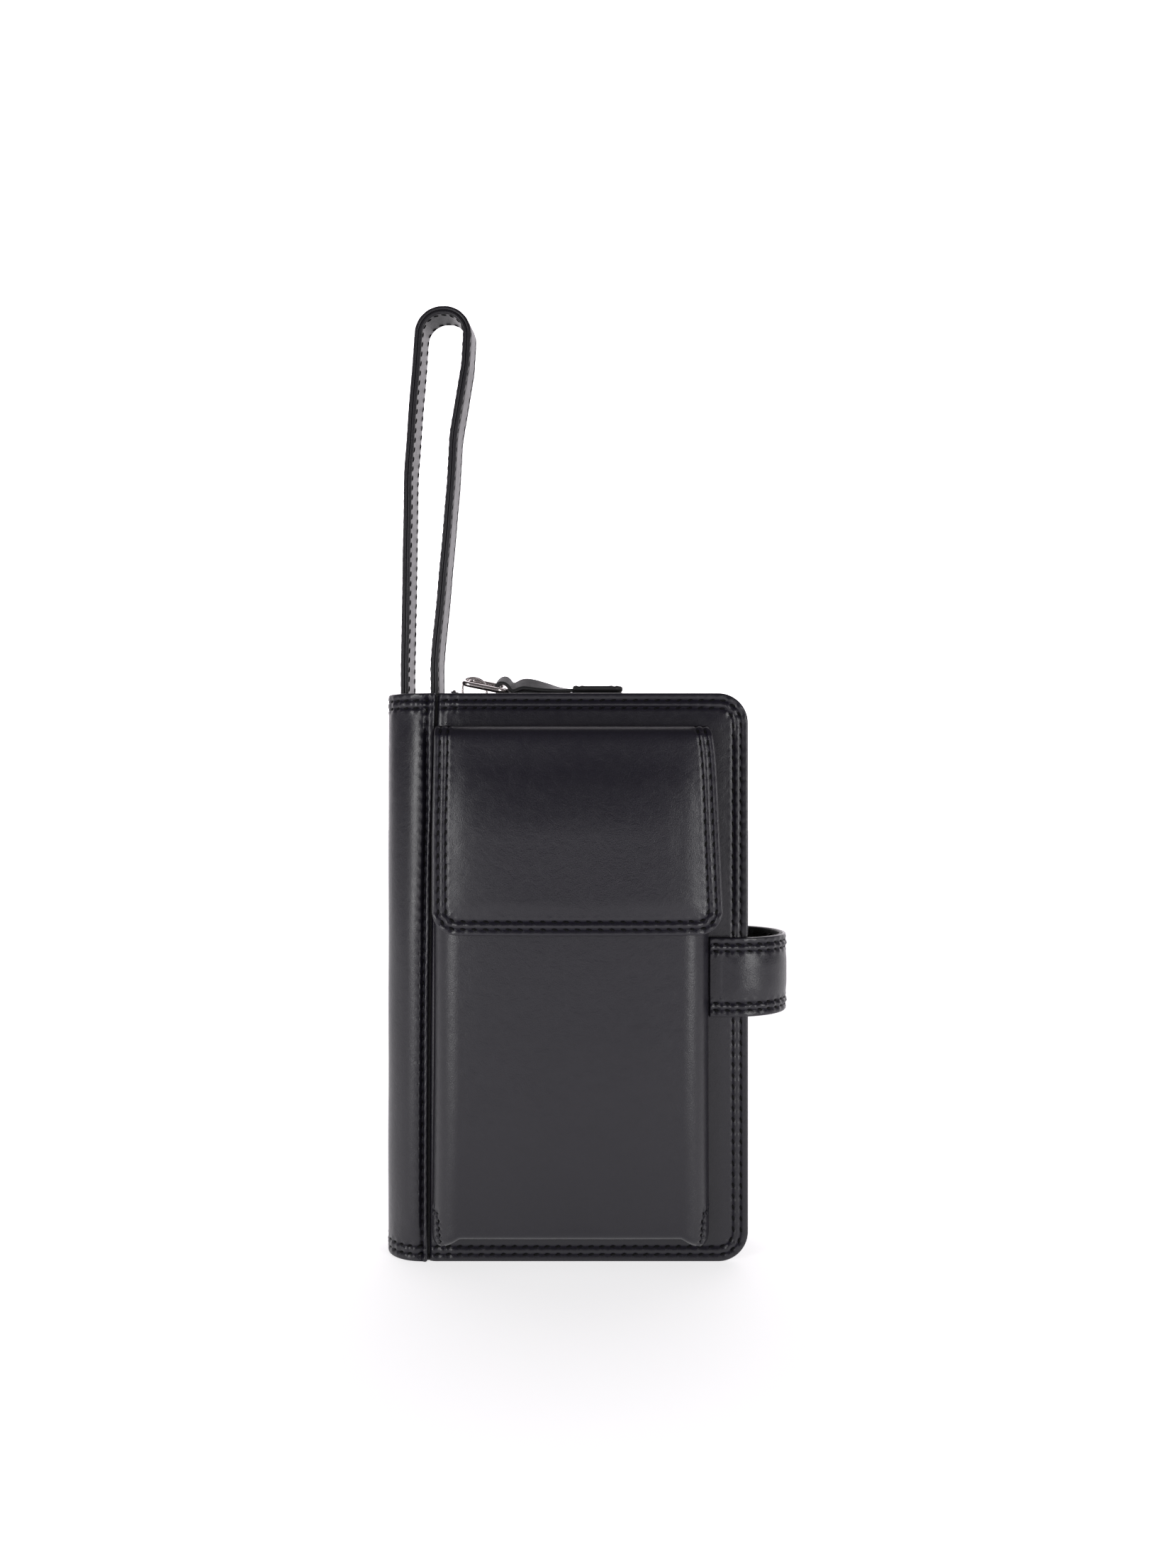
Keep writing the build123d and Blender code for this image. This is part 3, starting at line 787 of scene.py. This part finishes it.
def zip_fastener():
    """Tapes, interlocked teeth and the end stop."""
    low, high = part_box("zip_tapes")
    teeth_low, teeth_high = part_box("zip_teeth")
    centre_y, level = between(low, high).y, between(low, high).z
    slit, seam_inset = 1.2 * mm, 3.2 * mm

    def place(u, v, w):
        return np.stack([u, v, level + zip_rise(u) + w], axis=-1)
    for side, start, end in (("front", low.y, centre_y - slit), ("rear", centre_y + slit, high.y)):
        fold = start + seam_inset if side == "front" else end - seam_inset
        row = Row([(low.x + 1 * mm, fold), (high.x - 1 * mm, fold)], groove=0.12 * mm, pucker=0.05 * mm)
        tape = Sheet((low.x, high.x), (start, end), 0.6 * mm, place, rows=[row], rim=0.25 * mm,
                     border=5 * mm)
        replaced = ["zip_tapes"] if side == "front" else []
        dress(tape.build(f"zip_tape_{side}"), tape_cloth, "back", *replaced)
        sew(f"zip_tape_stitches_{side}", tape, [row], "back")
    pitch, size, reach = 1.55 * mm, (1.05 * mm, 3.3 * mm, 2.1 * mm), 0.75 * mm
    parted_x = -40 * mm                 # left of this the two rows come apart
    teeth = []
    for number in range(int((teeth_high.x - teeth_low.x) / pitch)):
        x = teeth_low.x + (number + 0.5) * pitch
        side = 1 if number % 2 else -1
        apart = 1.6 * mm * smooth((parted_x - x) / (5 * mm))
        y = centre_y + side * (reach + apart)
        teeth.append(pebble((x, y, level + zip_rise(x)), size))
    dress(lumps_piece("zip_teeth_row", teeth), gunmetal, "back", "zip_teeth")
    stop_low, stop_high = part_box("zip_bottom_stop")
    stop = pebble(between(stop_low, stop_high), stop_high - stop_low, 6)
    dress(mesh_piece("zip_end_stop", *stop), gunmetal, "back", "zip_bottom_stop")


def zip_slider():
    """Two plates joined at the nose, with a slim arch over them that holds the ring."""
    low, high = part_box("zip_slider")
    centre = between(low, high)
    centre.z = between(*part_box("zip_teeth")).z
    body_low_x, body_high_x = low.x + 1.6 * mm, high.x
    body_x = (body_low_x + body_high_x) / 2
    plate = (body_high_x - body_low_x, high.y - low.y, 1.2 * mm)
    lumps = [pebble((body_x, centre.y, centre.z + z), plate, 4, 32) for z in (-1.7 * mm, 1.7 * mm)]
    lumps.append(pebble((body_high_x - 2 * mm, centre.y, centre.z), (3 * mm, 1.6 * mm, 3.2 * mm), 4))
    arch = Path(spline([(low.x + 1.2 * mm, centre.z + 2 * mm), (low.x + 1 * mm, high.z - 3.4 * mm),
                        (low.x + 2.6 * mm, high.z - 1.2 * mm), (low.x + 5.6 * mm, high.z - 0.9 * mm),
                        (low.x + 8.4 * mm, high.z - 2.6 * mm), (low.x + 9.8 * mm, centre.z + 2 * mm)]))
    dress(lumps_piece("zip_slider_body", lumps), gunmetal, "slider", "zip_slider")
    strip = Sheet((0.0, arch.length), (centre.y - 1.1 * mm, centre.y + 1.1 * mm), 0.8 * mm,
                  along_curve(arch, "y"), rim=0.3 * mm, step=0.5 * mm, border=1 * mm)
    dress(strip.build("zip_slider_arch"), gunmetal, "slider")


def magnet(node, sheet, u, v, moves_with):
    """A thin steel disc hidden within a sheet, centred on the cut's (u, v)."""
    low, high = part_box(node)
    radius = (high.x - low.x) / 2
    turn = np.linspace(0, 2 * math.pi, 40, endpoint=False)
    around_u, around_v = u + radius * np.cos(turn), v + radius * np.sin(turn)
    upper, lower = sheet.faces_at(around_u, around_v)
    sides = [sheet.place(around_u, around_v, upper + (lower - upper) * share) for share in (0.2, 0.8)]
    size = len(turn)
    faces = [tuple(range(size)), tuple(range(2 * size - 1, size - 1, -1))]
    faces += [(k, k + size, (k + 1) % size + size, (k + 1) % size) for k in range(size)]
    dress(mesh_piece(f"{node}_disc", np.vstack(sides), faces), magnet_steel, moves_with, node)


# ---- telephone pocket

pocket_low, pocket_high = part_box("phone_pocket_front")
pocket_depth = front_face - pocket_low.y
pocket_side_bend = 9.5 * mm               # how softly its front turns into its sides
pocket_foot_bend = 2.6 * mm               # and into its bottom
pocket_corner = 0.5 * mm
corner_power = 4                          # over 2 squares the lower corners up
pocket_swell, pocket_swell_power = 1.6 * mm, 2.5
flap_swell, flap_swell_power = 2.8 * mm, 3.4


def turned_back(bend):
    """How much further a sheet reaches, cut flat, than the edge it turns back from."""
    return bend * (math.pi / 2 - 2) + pocket_depth - 0.1 * mm


def swell(x, z, amount, power):
    """How far the pocket's front, or the flap on it, swells towards the front."""
    across = np.abs(x - between(pocket_low, pocket_high).x) / ((pocket_high.x - pocket_low.x) / 2)
    upright = smooth((pocket_high.z - z) / (34 * mm)) * smooth((z - pocket_low.z + 4 * mm) / (34 * mm))
    return amount * np.clip(1 - across ** power, 0, 1) * (0.1 + 0.9 * upright)


def boxed(low_x, high_x, low_z, face_y):
    """A sheet cut flat whose middle stands at face_y and whose sides and bottom turn back."""
    side_margin, foot_margin = pocket_side_bend + pocket_corner, pocket_foot_bend + pocket_corner
    middle_x, half_width = (low_x + high_x) / 2, (high_x - low_x) / 2

    def place(u, v, w):
        sign = np.where(u > middle_x, 1.0, -1.0)
        past_u = np.maximum(np.maximum(low_x + side_margin - u, u - (high_x - side_margin)), 0)
        past_v = np.maximum(low_z + foot_margin - v, 0)
        reach = np.maximum((past_u ** corner_power + past_v ** corner_power) ** (1 / corner_power), 1e-9)
        away_x, away_z = sign * past_u / reach, -past_v / reach
        bend = pocket_foot_bend + (pocket_side_bend - pocket_foot_bend) * away_x ** 2
        beyond = np.maximum(reach - pocket_corner, 0)
        turn = np.minimum(beyond / bend, math.pi / 2)
        straight = np.maximum(beyond - bend * math.pi / 2, 0)
        moved = bend * np.sin(turn) + w * np.sin(turn) - beyond
        drop = bend * (1 - np.cos(turn)) + straight - w * np.cos(turn)
        x = u + away_x * moved
        narrow = 2.6 * mm * smooth((v - 128 * mm) / (30 * mm)) - 0.6 * mm * (1 - smooth(v / (90 * mm)))
        x = x + narrow * np.clip((middle_x - x) / half_width, -0.3, 1)
        y = face_y + drop - swell(u, v, pocket_swell, pocket_swell_power)
        return np.stack([x, y, v + away_z * moved], axis=-1)
    return place


def telephone_pocket():
    """One piece of leather boxed round the telephone, its two lower corners closed by darts."""
    thickness = 1.1 * mm
    low_x, high_x, low_z = pocket_low.x, pocket_high.x, pocket_low.z - 0.8 * mm
    margin, foot = turned_back(pocket_side_bend), turned_back(pocket_foot_bend)
    reach = pocket_corner + pocket_foot_bend + foot
    corner = reach * (1 - 2 ** (-1 / corner_power)) / (1 - 2 ** -0.5)

    def dart(side_x, inward):
        """The seam of a lower corner, from the side to the bottom."""
        route = [(side_x + inward * in_by * mm, low_z + up_by * mm)
                 for in_by, up_by in ((-5.0, 8.4), (0.7, 7.8), (1.3, 6.0), (2.6, -5.0))]
        return Row(rounded(route, 1 * mm), pitch=2.2 * mm, groove=0.70 * mm, pucker=0.22 * mm)
    darts = [dart(low_x, 1), dart(high_x, -1)]

    def relief(u, v, depth):
        slack = 0.28 * mm * ripple(u, v * 0.6, 42 * mm, 41)
        return (slack - 0.30 * mm) * smooth((depth - margin - 1 * mm) / (9 * mm))
    outside = boxed(low_x, high_x, low_z, pocket_low.y)
    sheet = Sheet((low_x - margin, high_x + margin), (low_z - foot, pocket_high.z), thickness, outside,
                  (corner, corner, 0, 0), darts, relief, level=-thickness / 2, border=16 * mm)
    dress(sheet.build("pocket_leather"), leather, "front", "phone_pocket_front", "phone_pocket_gusset")
    sew("pocket_dart_stitches", sheet, darts, "front")
    hem = Row([(low_x + 6 * mm, pocket_high.z - 2 * mm), (high_x - 6 * mm, pocket_high.z - 2 * mm)])
    short = 2 * mm                        # the lining is cut this much shorter all round
    inner = Sheet((low_x - margin + short, high_x + margin - short), (low_z - foot + short, pocket_high.z),
                  0.8 * mm, outside, (corner - short, corner - short, 0, 0), [hem], relief,
                  level=-1.5 * mm, step=panel_step)
    dress(inner.build("pocket_inside"), lining_cloth, "front", "phone_pocket_lining")
    centre = between(*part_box("phone_pocket_magnet"))
    magnet("phone_pocket_magnet", inner, centre.x, centre.z, "front")


# ---- flap

def flap():
    """The flap: a tail sewn to the cover, a soft fold forward, and a hanging front, in two layers."""
    low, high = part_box("flap_front_leather")
    tail_low, tail_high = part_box("flap_tail")
    thickness = 2 * mm
    front_y, tail_y = low.y + thickness / 2, tail_high.y - thickness / 2
    top_z = high.z - thickness / 2
    fold_radius = 4 * mm
    route = [(front_y, low.z), (front_y, top_z), (tail_y, top_z), (tail_y, tail_low.z)]
    path = Path(rounded(route, fold_radius))
    hang = top_z - low.z
    bridge = hang + (tail_y - front_y) / 2 - (2 - math.pi / 2) * fold_radius

    def flare(u, v):
        """The flap is a little wider at its hem than at its fold, most of all on its right."""
        below = np.clip(hang - u, 0, None)
        right = -3.1 * mm + 1.6 * mm * (1 - np.exp(-below / (5 * mm))) + 2.3 * mm * below / (54 * mm)
        left = 0.7 * mm * (1 - smooth(below / (40 * mm)))
        left += 2.5 * mm * smooth((u - hang - 4 * mm) / (8 * mm))
        share = (v - low.x) / (high.x - low.x)
        return v + right * share + left * (1 - share)
    straight = along_curve(path, "x", flare)

    def place(u, v, w):
        points = straight(u, v, w)
        bow = swell(points[..., 0], points[..., 2], flap_swell, flap_swell_power)
        points[..., 1] -= bow * smooth((hang - u) / (20 * mm))
        points[..., 2] -= 0.45 * mm * smooth((u - hang + 3 * mm) / (4 * mm))
        return points
    corner = 8 * mm
    rows_front = border_rows(flap_insets, bridge, 0.0, low.x, high.x, corner)
    rows_tail = [Row([(bridge, v), (path.length - 1 * mm, v)])
                 for inset in flap_insets for v in (low.x + inset, high.x - inset)]
    tail_row = Row([(path.length - 3 * mm, low.x + 6 * mm), (path.length - 3 * mm, high.x - 6 * mm)])

    def relief(u, v, depth):
        ridge = bell((depth - sum(flap_insets) / 2) / (0.9 * mm)) * 0.20 * mm
        panel = 0.30 * mm * smooth((depth - 5 * mm) / (6 * mm))
        slack = 0.16 * mm * ripple(u, v, 50 * mm, 51) * smooth(depth / (12 * mm))
        return (ridge + panel + slack) * smooth((hang - u) / (7 * mm))
    pivot_front, pivot_tail = joint_place["flap_front_fold"], joint_place["flap_root_fold"]
    front_bend = ("flap_top", "flap_front", (0, pivot_front.y + hinge_blend, top_z),
                  (0, front_y, top_z - hinge_blend))
    tail_bend = ("front", "flap_top", (0, tail_y, top_z - 4.5 * mm), (0, pivot_tail.y - 4.5 * mm, top_z))
    halves = (("front", (0.0, bridge), (False, True), rows_front, front_bend, (corner, 0, 0, corner)),
              ("tail", (bridge, path.length), (True, False), rows_tail + [tail_row], tail_bend,
               (0, 1 * mm, 1 * mm, 0)))
    replaced = {"front": ("flap_front_leather", "flap_front_lining"),
                "tail": ("flap_top_leather", "flap_top_lining", "flap_tail")}
    for part, span, joined, rows, bend, corners in halves:
        outer = Sheet(span, (low.x, high.x), 1.1 * mm, place, corners, rows, relief, level=0.45 * mm,
                      joined_u=joined)
        inner = Sheet(span, (low.x, high.x), 1 * mm, place, corners, level=-0.55 * mm, joined_u=joined,
                      step=panel_step)
        dress(outer.build(f"flap_leather_{part}"), leather, bend, replaced[part][0])
        dress(inner.build(f"flap_lining_{part}"), inner_leather, bend, *replaced[part][1:])
        sew(f"flap_stitches_{part}", outer, rows, bend)
        if part == "front":
            sew("flap_stitches_under", inner, rows, bend, below=True)
            centre = between(*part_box("flap_magnet"))
            magnet("flap_magnet", inner, centre.z - low.z, centre.x, bend)


# ---- closing tab

def closing_tab():
    """The tab that is sewn beside the pocket and wraps round the free edge to its snap on the back."""
    low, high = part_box("tab_outer_layer")
    root_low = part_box("tab_root")[0]
    thickness = 2.2 * mm
    front_y, rear_y = low.y - 0.3 * mm + thickness / 2, high.y - thickness / 2
    far_x = high.x - thickness / 2
    start_x, middle, reach = 48 * mm, (front_y + rear_y) / 2, (rear_y - front_y) / 2
    corner = 9 * mm
    sweep = np.linspace(math.pi / 2, -math.pi / 2, 60)
    bow = [(start_x + (far_x - start_x) * math.cos(t), middle + reach * math.sin(t)) for t in sweep]
    path = Path([(low.x, rear_y)] + bow + [(root_low.x, front_y + 0.4 * mm)])
    rows = border_rows(tab_insets, path.length - 0.5 * mm, 0.0, low.z, high.z, corner)
    hinge = joint_place["tab_swing"]
    bend = ("front", "closure_tab", (hinge.x - 3 * mm, hinge.y, 0), (hinge.x + hinge_blend, hinge.y, 0))

    def relief(u, v, depth):
        ridge = bell((depth - sum(tab_insets) / 2) / (0.9 * mm)) * 0.18 * mm
        return ridge + 0.30 * mm * smooth((depth - 5 * mm) / (5 * mm))
    place = along_curve(path, "z")
    corners = (corner, 0, 0, corner)
    outer = Sheet((0.0, path.length), (low.z, high.z), 1.15 * mm, place, corners, rows, relief,
                  level=thickness / 4, step=0.9 * mm, rim=0.45 * mm)
    inner = Sheet((0.0, path.length), (low.z, high.z), 1.05 * mm, place, corners,
                  level=-thickness / 4, step=1.2 * mm)
    dress(outer.build("tab_leather"), leather, bend, "tab_outer_layer", "tab_root")
    dress(inner.build("tab_lining"), inner_leather, bend, "tab_inner_layer")
    sew("tab_stitches", outer, rows, bend)
    sew("tab_stitches_inside", inner, rows, bend, below=True)


def snap_fastener():
    """The cap on the tab, the socket beneath it and the stud on the back cover."""
    dome = [(0.97, 0), (1.0, 0.1), (1.0, 0.3), (0.96, 0.5), (0.86, 0.72), (0.7, 0.86), (0.45, 0.96),
            (0.1, 1.0)]
    ring = [(0.5, 0), (0.9, 0.02), (1.0, 0.15), (1.0, 0.85), (0.95, 1.0), (0.2, 1.0)]
    post = [(1.0, 0), (1.0, 0.3), (0.92, 0.45), (0.42, 0.5), (0.38, 0.6), (0.44, 0.8), (0.4, 0.95),
            (0.2, 1.0)]
    for name, node, body, outline in (("snap_cap_dome", "snap_cap", "closure_tab", dome),
                                      ("snap_socket_ring", "snap_socket", "closure_tab", ring),
                                      ("snap_stud_post", "snap_stud", "back", post)):
        low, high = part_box(node)
        radius = (high.x - low.x) / 2
        profile = [(share * radius, low.y + rise * (high.y - low.y)) for share, rise in outline]
        dress(turned_piece(name, profile, between(low, high)), gunmetal, body, node)


# ---- wrist strap

def wrist_strap():
    """A loop of two leathers sewn back to back, its ends going down inside the spine."""
    sewn_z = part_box("strap_sewn_ends")[0].z
    width, layer, twist = 12 * mm, 1.35 * mm, math.radians(5.0)
    swing = joint_place["strap_swing"]
    route = [(-62.3, sewn_z / mm), (-62.3, 200), (-61.2, 268), (-56.9, 321.65), (-40.3, 321.65),
             (-41.3, 303), (-45.5, 279), (-46.4, 262), (-52.0, 200), (-52.0, sewn_z / mm)]
    bends = [90, 90, 8.1, 8.1, 20, 40, 60, 60]
    path = Path(rounded(np.array(route) * mm, np.array(bends) * mm))

    def place(u, v, w):
        point, tangent = path.at(u)
        a = point[..., 0] - tangent[..., 1] * w - swing.x
        z = point[..., 1] + tangent[..., 0] * w
        return np.stack([swing.x + a * math.cos(twist) + v * math.sin(twist),
                         swing.y - a * math.sin(twist) + v * math.cos(twist), z], axis=-1)
    edge = width / 2 - 1.5 * mm
    rows = [Row([(1 * mm, side * edge), (path.length - 1 * mm, side * edge)],
                pitch=3.3 * mm, groove=0.30 * mm, pucker=0.05 * mm, thread=0.45 * mm) for side in (-1, 1)]
    bend = ("spine", "wrist_strap", (swing.x, swing.y, swing.z - hinge_blend),
            (swing.x, swing.y, swing.z + 9 * mm))

    def relief(u, v, depth):
        return 0.12 * mm * ripple(u, v * 0.5, 30 * mm, 61)
    span = (0.0, path.length)
    outer = Sheet(span, (-width / 2, width / 2), layer, place, rows=rows, relief=relief, level=layer / 2,
                  step=1 * mm)
    inner = Sheet(span, (-width / 2, width / 2), layer, place, relief=relief, level=-layer / 2,
                  step=1 * mm)
    dress(outer.build("strap_outer"), strap_leather, bend, "strap_outer_layer", "strap_sewn_ends")
    dress(inner.build("strap_inner"), strap_leather, bend, "strap_inner_layer", "strap_flex_roots")
    sew("strap_stitches_outer", outer, rows, bend)
    sew("strap_stitches_inner", inner, rows, bend, below=True)


# ---- zip pull

def pull_ring():
    """A closed ring of flattened wire, hanging a little off level from the slider."""
    pivot = joint_place["ring_swing"]
    rod = 0.9 * mm
    long_way, wide, corner = 13.7 * mm, 12.5 * mm, 2.6 * mm
    droop = math.radians(11.4)
    half_long, half_wide = long_way / 2, wide / 2
    outline = rounded([(0, -half_wide), (half_long, -half_wide), (half_long, half_wide),
                       (-half_long, half_wide), (-half_long, -half_wide), (0, -half_wide)], corner)
    path = Path(outline, 0.5 * mm)
    sides = 16
    points = []
    count = len(path.s) - 1
    for index in range(count):
        point, tangent = path.points[index], path.tangents[index]
        for step in range(sides):
            angle = 2 * math.pi * step / sides
            out = rod * 1.20 * signed_power(math.cos(angle), 0.8)
            up = rod * 1.05 * signed_power(math.sin(angle), 0.8)
            points.append((point[0] + half_long + tangent[1] * out, point[1] - tangent[0] * out, up))
    lean = math.radians(10.0)             # its near side hangs lower
    tilt = Matrix.Translation(pivot) @ Matrix.Rotation(droop, 4, "Y") @ Matrix.Rotation(lean, 4, "X")
    placed = [tuple(tilt @ Vector(point)) for point in points]
    ring = mesh_piece("ring_wire", placed, bands(count, sides, closed=True))
    dress(ring, gunmetal, "ring", "pull_ring")


def zip_pull():
    """A leather strip folded round the ring and sewn into a doubled grip."""
    rod = joint_place["pull_swing"]
    strip_low, strip_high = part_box("pull_strip")
    grip_low, grip_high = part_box("pull_grip")
    centre_y, grip_z = between(grip_low, grip_high).y, between(grip_low, grip_high).z
    layer, half = 1.2 * mm, 0.62 * mm
    loop = 2.35 * mm
    eye_x, eye_z = rod.x - 0.5 * mm, rod.z + 0.8 * mm
    below = [(grip_high.x - 1.5 * mm, grip_z - half), (grip_low.x - 2 * mm, grip_z - half),
             (rod.x + 8 * mm, rod.z + 0.3 * mm), (rod.x + 4.5 * mm, rod.z - 0.4 * mm)]
    around = [(eye_x + loop * math.cos(angle), eye_z + loop * math.sin(angle))
              for angle in np.radians([-60, -110, -160, -205, -250, -290, -325])]
    above = [(rod.x + 3 * mm, rod.z + 0.6 * mm), (rod.x + 7 * mm, rod.z + 1.9 * mm),
             (grip_low.x - 9 * mm, grip_z + half + 1 * mm), (grip_low.x - 2 * mm, grip_z + half),
             (grip_high.x - 1.5 * mm, grip_z + half)]
    path = Path(spline(below + around + above))
    width = strip_high.y - strip_low.y
    level_strip = along_curve(path, "y")

    def place(u, v, w):
        points = level_strip(u, v, w)
        past = points[..., 0] - rod.x
        roll = 0.52 * bell((past - 9 * mm) / (10 * mm)) + 0.16 * bell(past / (4 * mm))
        points[..., 2] += (points[..., 1] - centre_y) * roll
        return points
    strip = Sheet((0.0, path.length), (centre_y - width / 2, centre_y + width / 2), layer, place,
                  rim=0.4 * mm, step=0.8 * mm, border=3 * mm)
    dress(strip.build("pull_strip_leather"), inner_leather, "pull", "pull_strip")
    round_end = 3.4 * mm
    for side, name in ((1, "upper"), (-1, "lower")):
        def place(u, v, w, side=side):
            return np.stack([u, v, grip_z + side * (1 * mm + w)], axis=-1)
        u, v = (grip_low.x, grip_high.x), (grip_low.y, grip_high.y)
        rows = [Row([(x, v[0] + 0.8 * mm), (x, v[1] - 0.8 * mm)], pitch=2.4 * mm)
                for x in (u[0] + 2.2 * mm, u[1] - 3 * mm)]
        patch = Sheet(u, v, 1.8 * mm, place, (0.8 * mm, round_end, round_end, 0.8 * mm), rows, rim=0.6 * mm,
                      step=0.6 * mm)
        replaced = ["pull_grip"] if side > 0 else []
        dress(patch.build(f"pull_grip_{name}"), inner_leather, "pull", *replaced)
        sew(f"pull_grip_stitches_{name}", patch, rows, "pull")


# ---- parts that stay as the CAD has them

def finish_boards():
    """The stiffening boards inside the covers."""
    for name in ("front_stiffener", "back_stiffener"):
        node = frame["nodes"][name]
        node.data.materials.clear()
        node.data.materials.append(board)


# ---- the wallet

cover("front", front_face, -1)
cover("back", rear_face, 1)
spine_half("front", "front", front_face, -1, ["spine_front_strip", "spine_panel"])
spine_half("rear", "back", rear_face, 1, ["spine_rear_strip"])
strap_anchor()
inside()
zip_pouch()
zip_fastener()
zip_slider()
telephone_pocket()
flap()
closing_tab()
snap_fastener()
wrist_strap()
pull_ring()
zip_pull()
finish_boards()

# ---- camera, floor and light

camera_data = bpy.data.cameras.new("camera")
camera = bpy.data.objects.new("camera", camera_data)
bpy.context.scene.collection.objects.link(camera)
camera_distance = 428 * mm                # from the front cover's face
camera.location = (0, front_face - camera_distance, 159.6 * mm)
camera.rotation_euler = (math.pi / 2, 0, 0)
camera_data.sensor_fit = "VERTICAL"
camera_data.sensor_height = 36.0
camera_data.lens = 29.42
camera_data.clip_start = 0.01
bpy.context.scene.camera = camera


def soft_light(name, place, aim, size, watts):
    data = bpy.data.lights.new(name, "AREA")
    data.shape = "RECTANGLE"
    data.size, data.size_y = size
    data.energy = watts
    light = bpy.data.objects.new(name, data)
    light.location = place
    light.rotation_euler = (Vector(aim) - Vector(place)).to_track_quat("-Z", "Y").to_euler()
    bpy.context.scene.collection.objects.link(light)


soft_light("left_box", (-0.86, -0.94, 0.14), (0, 0, 0.12), (0.30, 0.8), 8.4)
soft_light("right_box", (0.88, -0.92, 0.14), (0, 0, 0.12), (0.30, 0.8), 8.0)


def studio_world():
    """White paper behind, a dim room to the sides and in front; the camera sees white all round."""
    world = bpy.data.worlds.new("studio")
    world.use_nodes = True
    tree = world.node_tree
    background = tree.nodes["Background"]
    direction = tree.nodes.new("ShaderNodeTexCoord")
    parts = tree.nodes.new("ShaderNodeSeparateXYZ")
    fade = tree.nodes.new("ShaderNodeMapRange")
    fade.interpolation_type = "SMOOTHSTEP"
    for key, value in (("From Min", 0.20), ("From Max", 0.95), ("To Min", 0.12), ("To Max", 2.20)):
        fade.inputs[key].default_value = value
    seen = tree.nodes.new("ShaderNodeLightPath")
    strength = tree.nodes.new("ShaderNodeMath")
    strength.operation = "MAXIMUM"
    tree.links.new(direction.outputs["Generated"], parts.inputs["Vector"])
    tree.links.new(parts.outputs["Y"], fade.inputs["Value"])
    tree.links.new(fade.outputs["Result"], strength.inputs[0])
    tree.links.new(seen.outputs["Is Camera Ray"], strength.inputs[1])
    tree.links.new(strength.outputs["Value"], background.inputs["Strength"])
    background.inputs["Color"].default_value = (1.0, 0.955, 1.0, 1)
    bpy.context.scene.world = world


studio_world()
bpy.context.scene.view_settings.view_transform = "Standard"

floor_material, floor_shader = principled("floor", (0.85, 0.83, 0.86), 0.9, Specular_IOR_Level=0.0)
floor_shader.inputs["Emission Color"].default_value = (1, 1, 1, 1)
floor_shader.inputs["Emission Strength"].default_value = 0.66
floor = mesh_piece("floor", [(-4, -4, 0), (4, -4, 0), (4, 4, 0), (-4, 4, 0)], [(0, 1, 2, 3)], False)
floor.data.materials.append(floor_material)
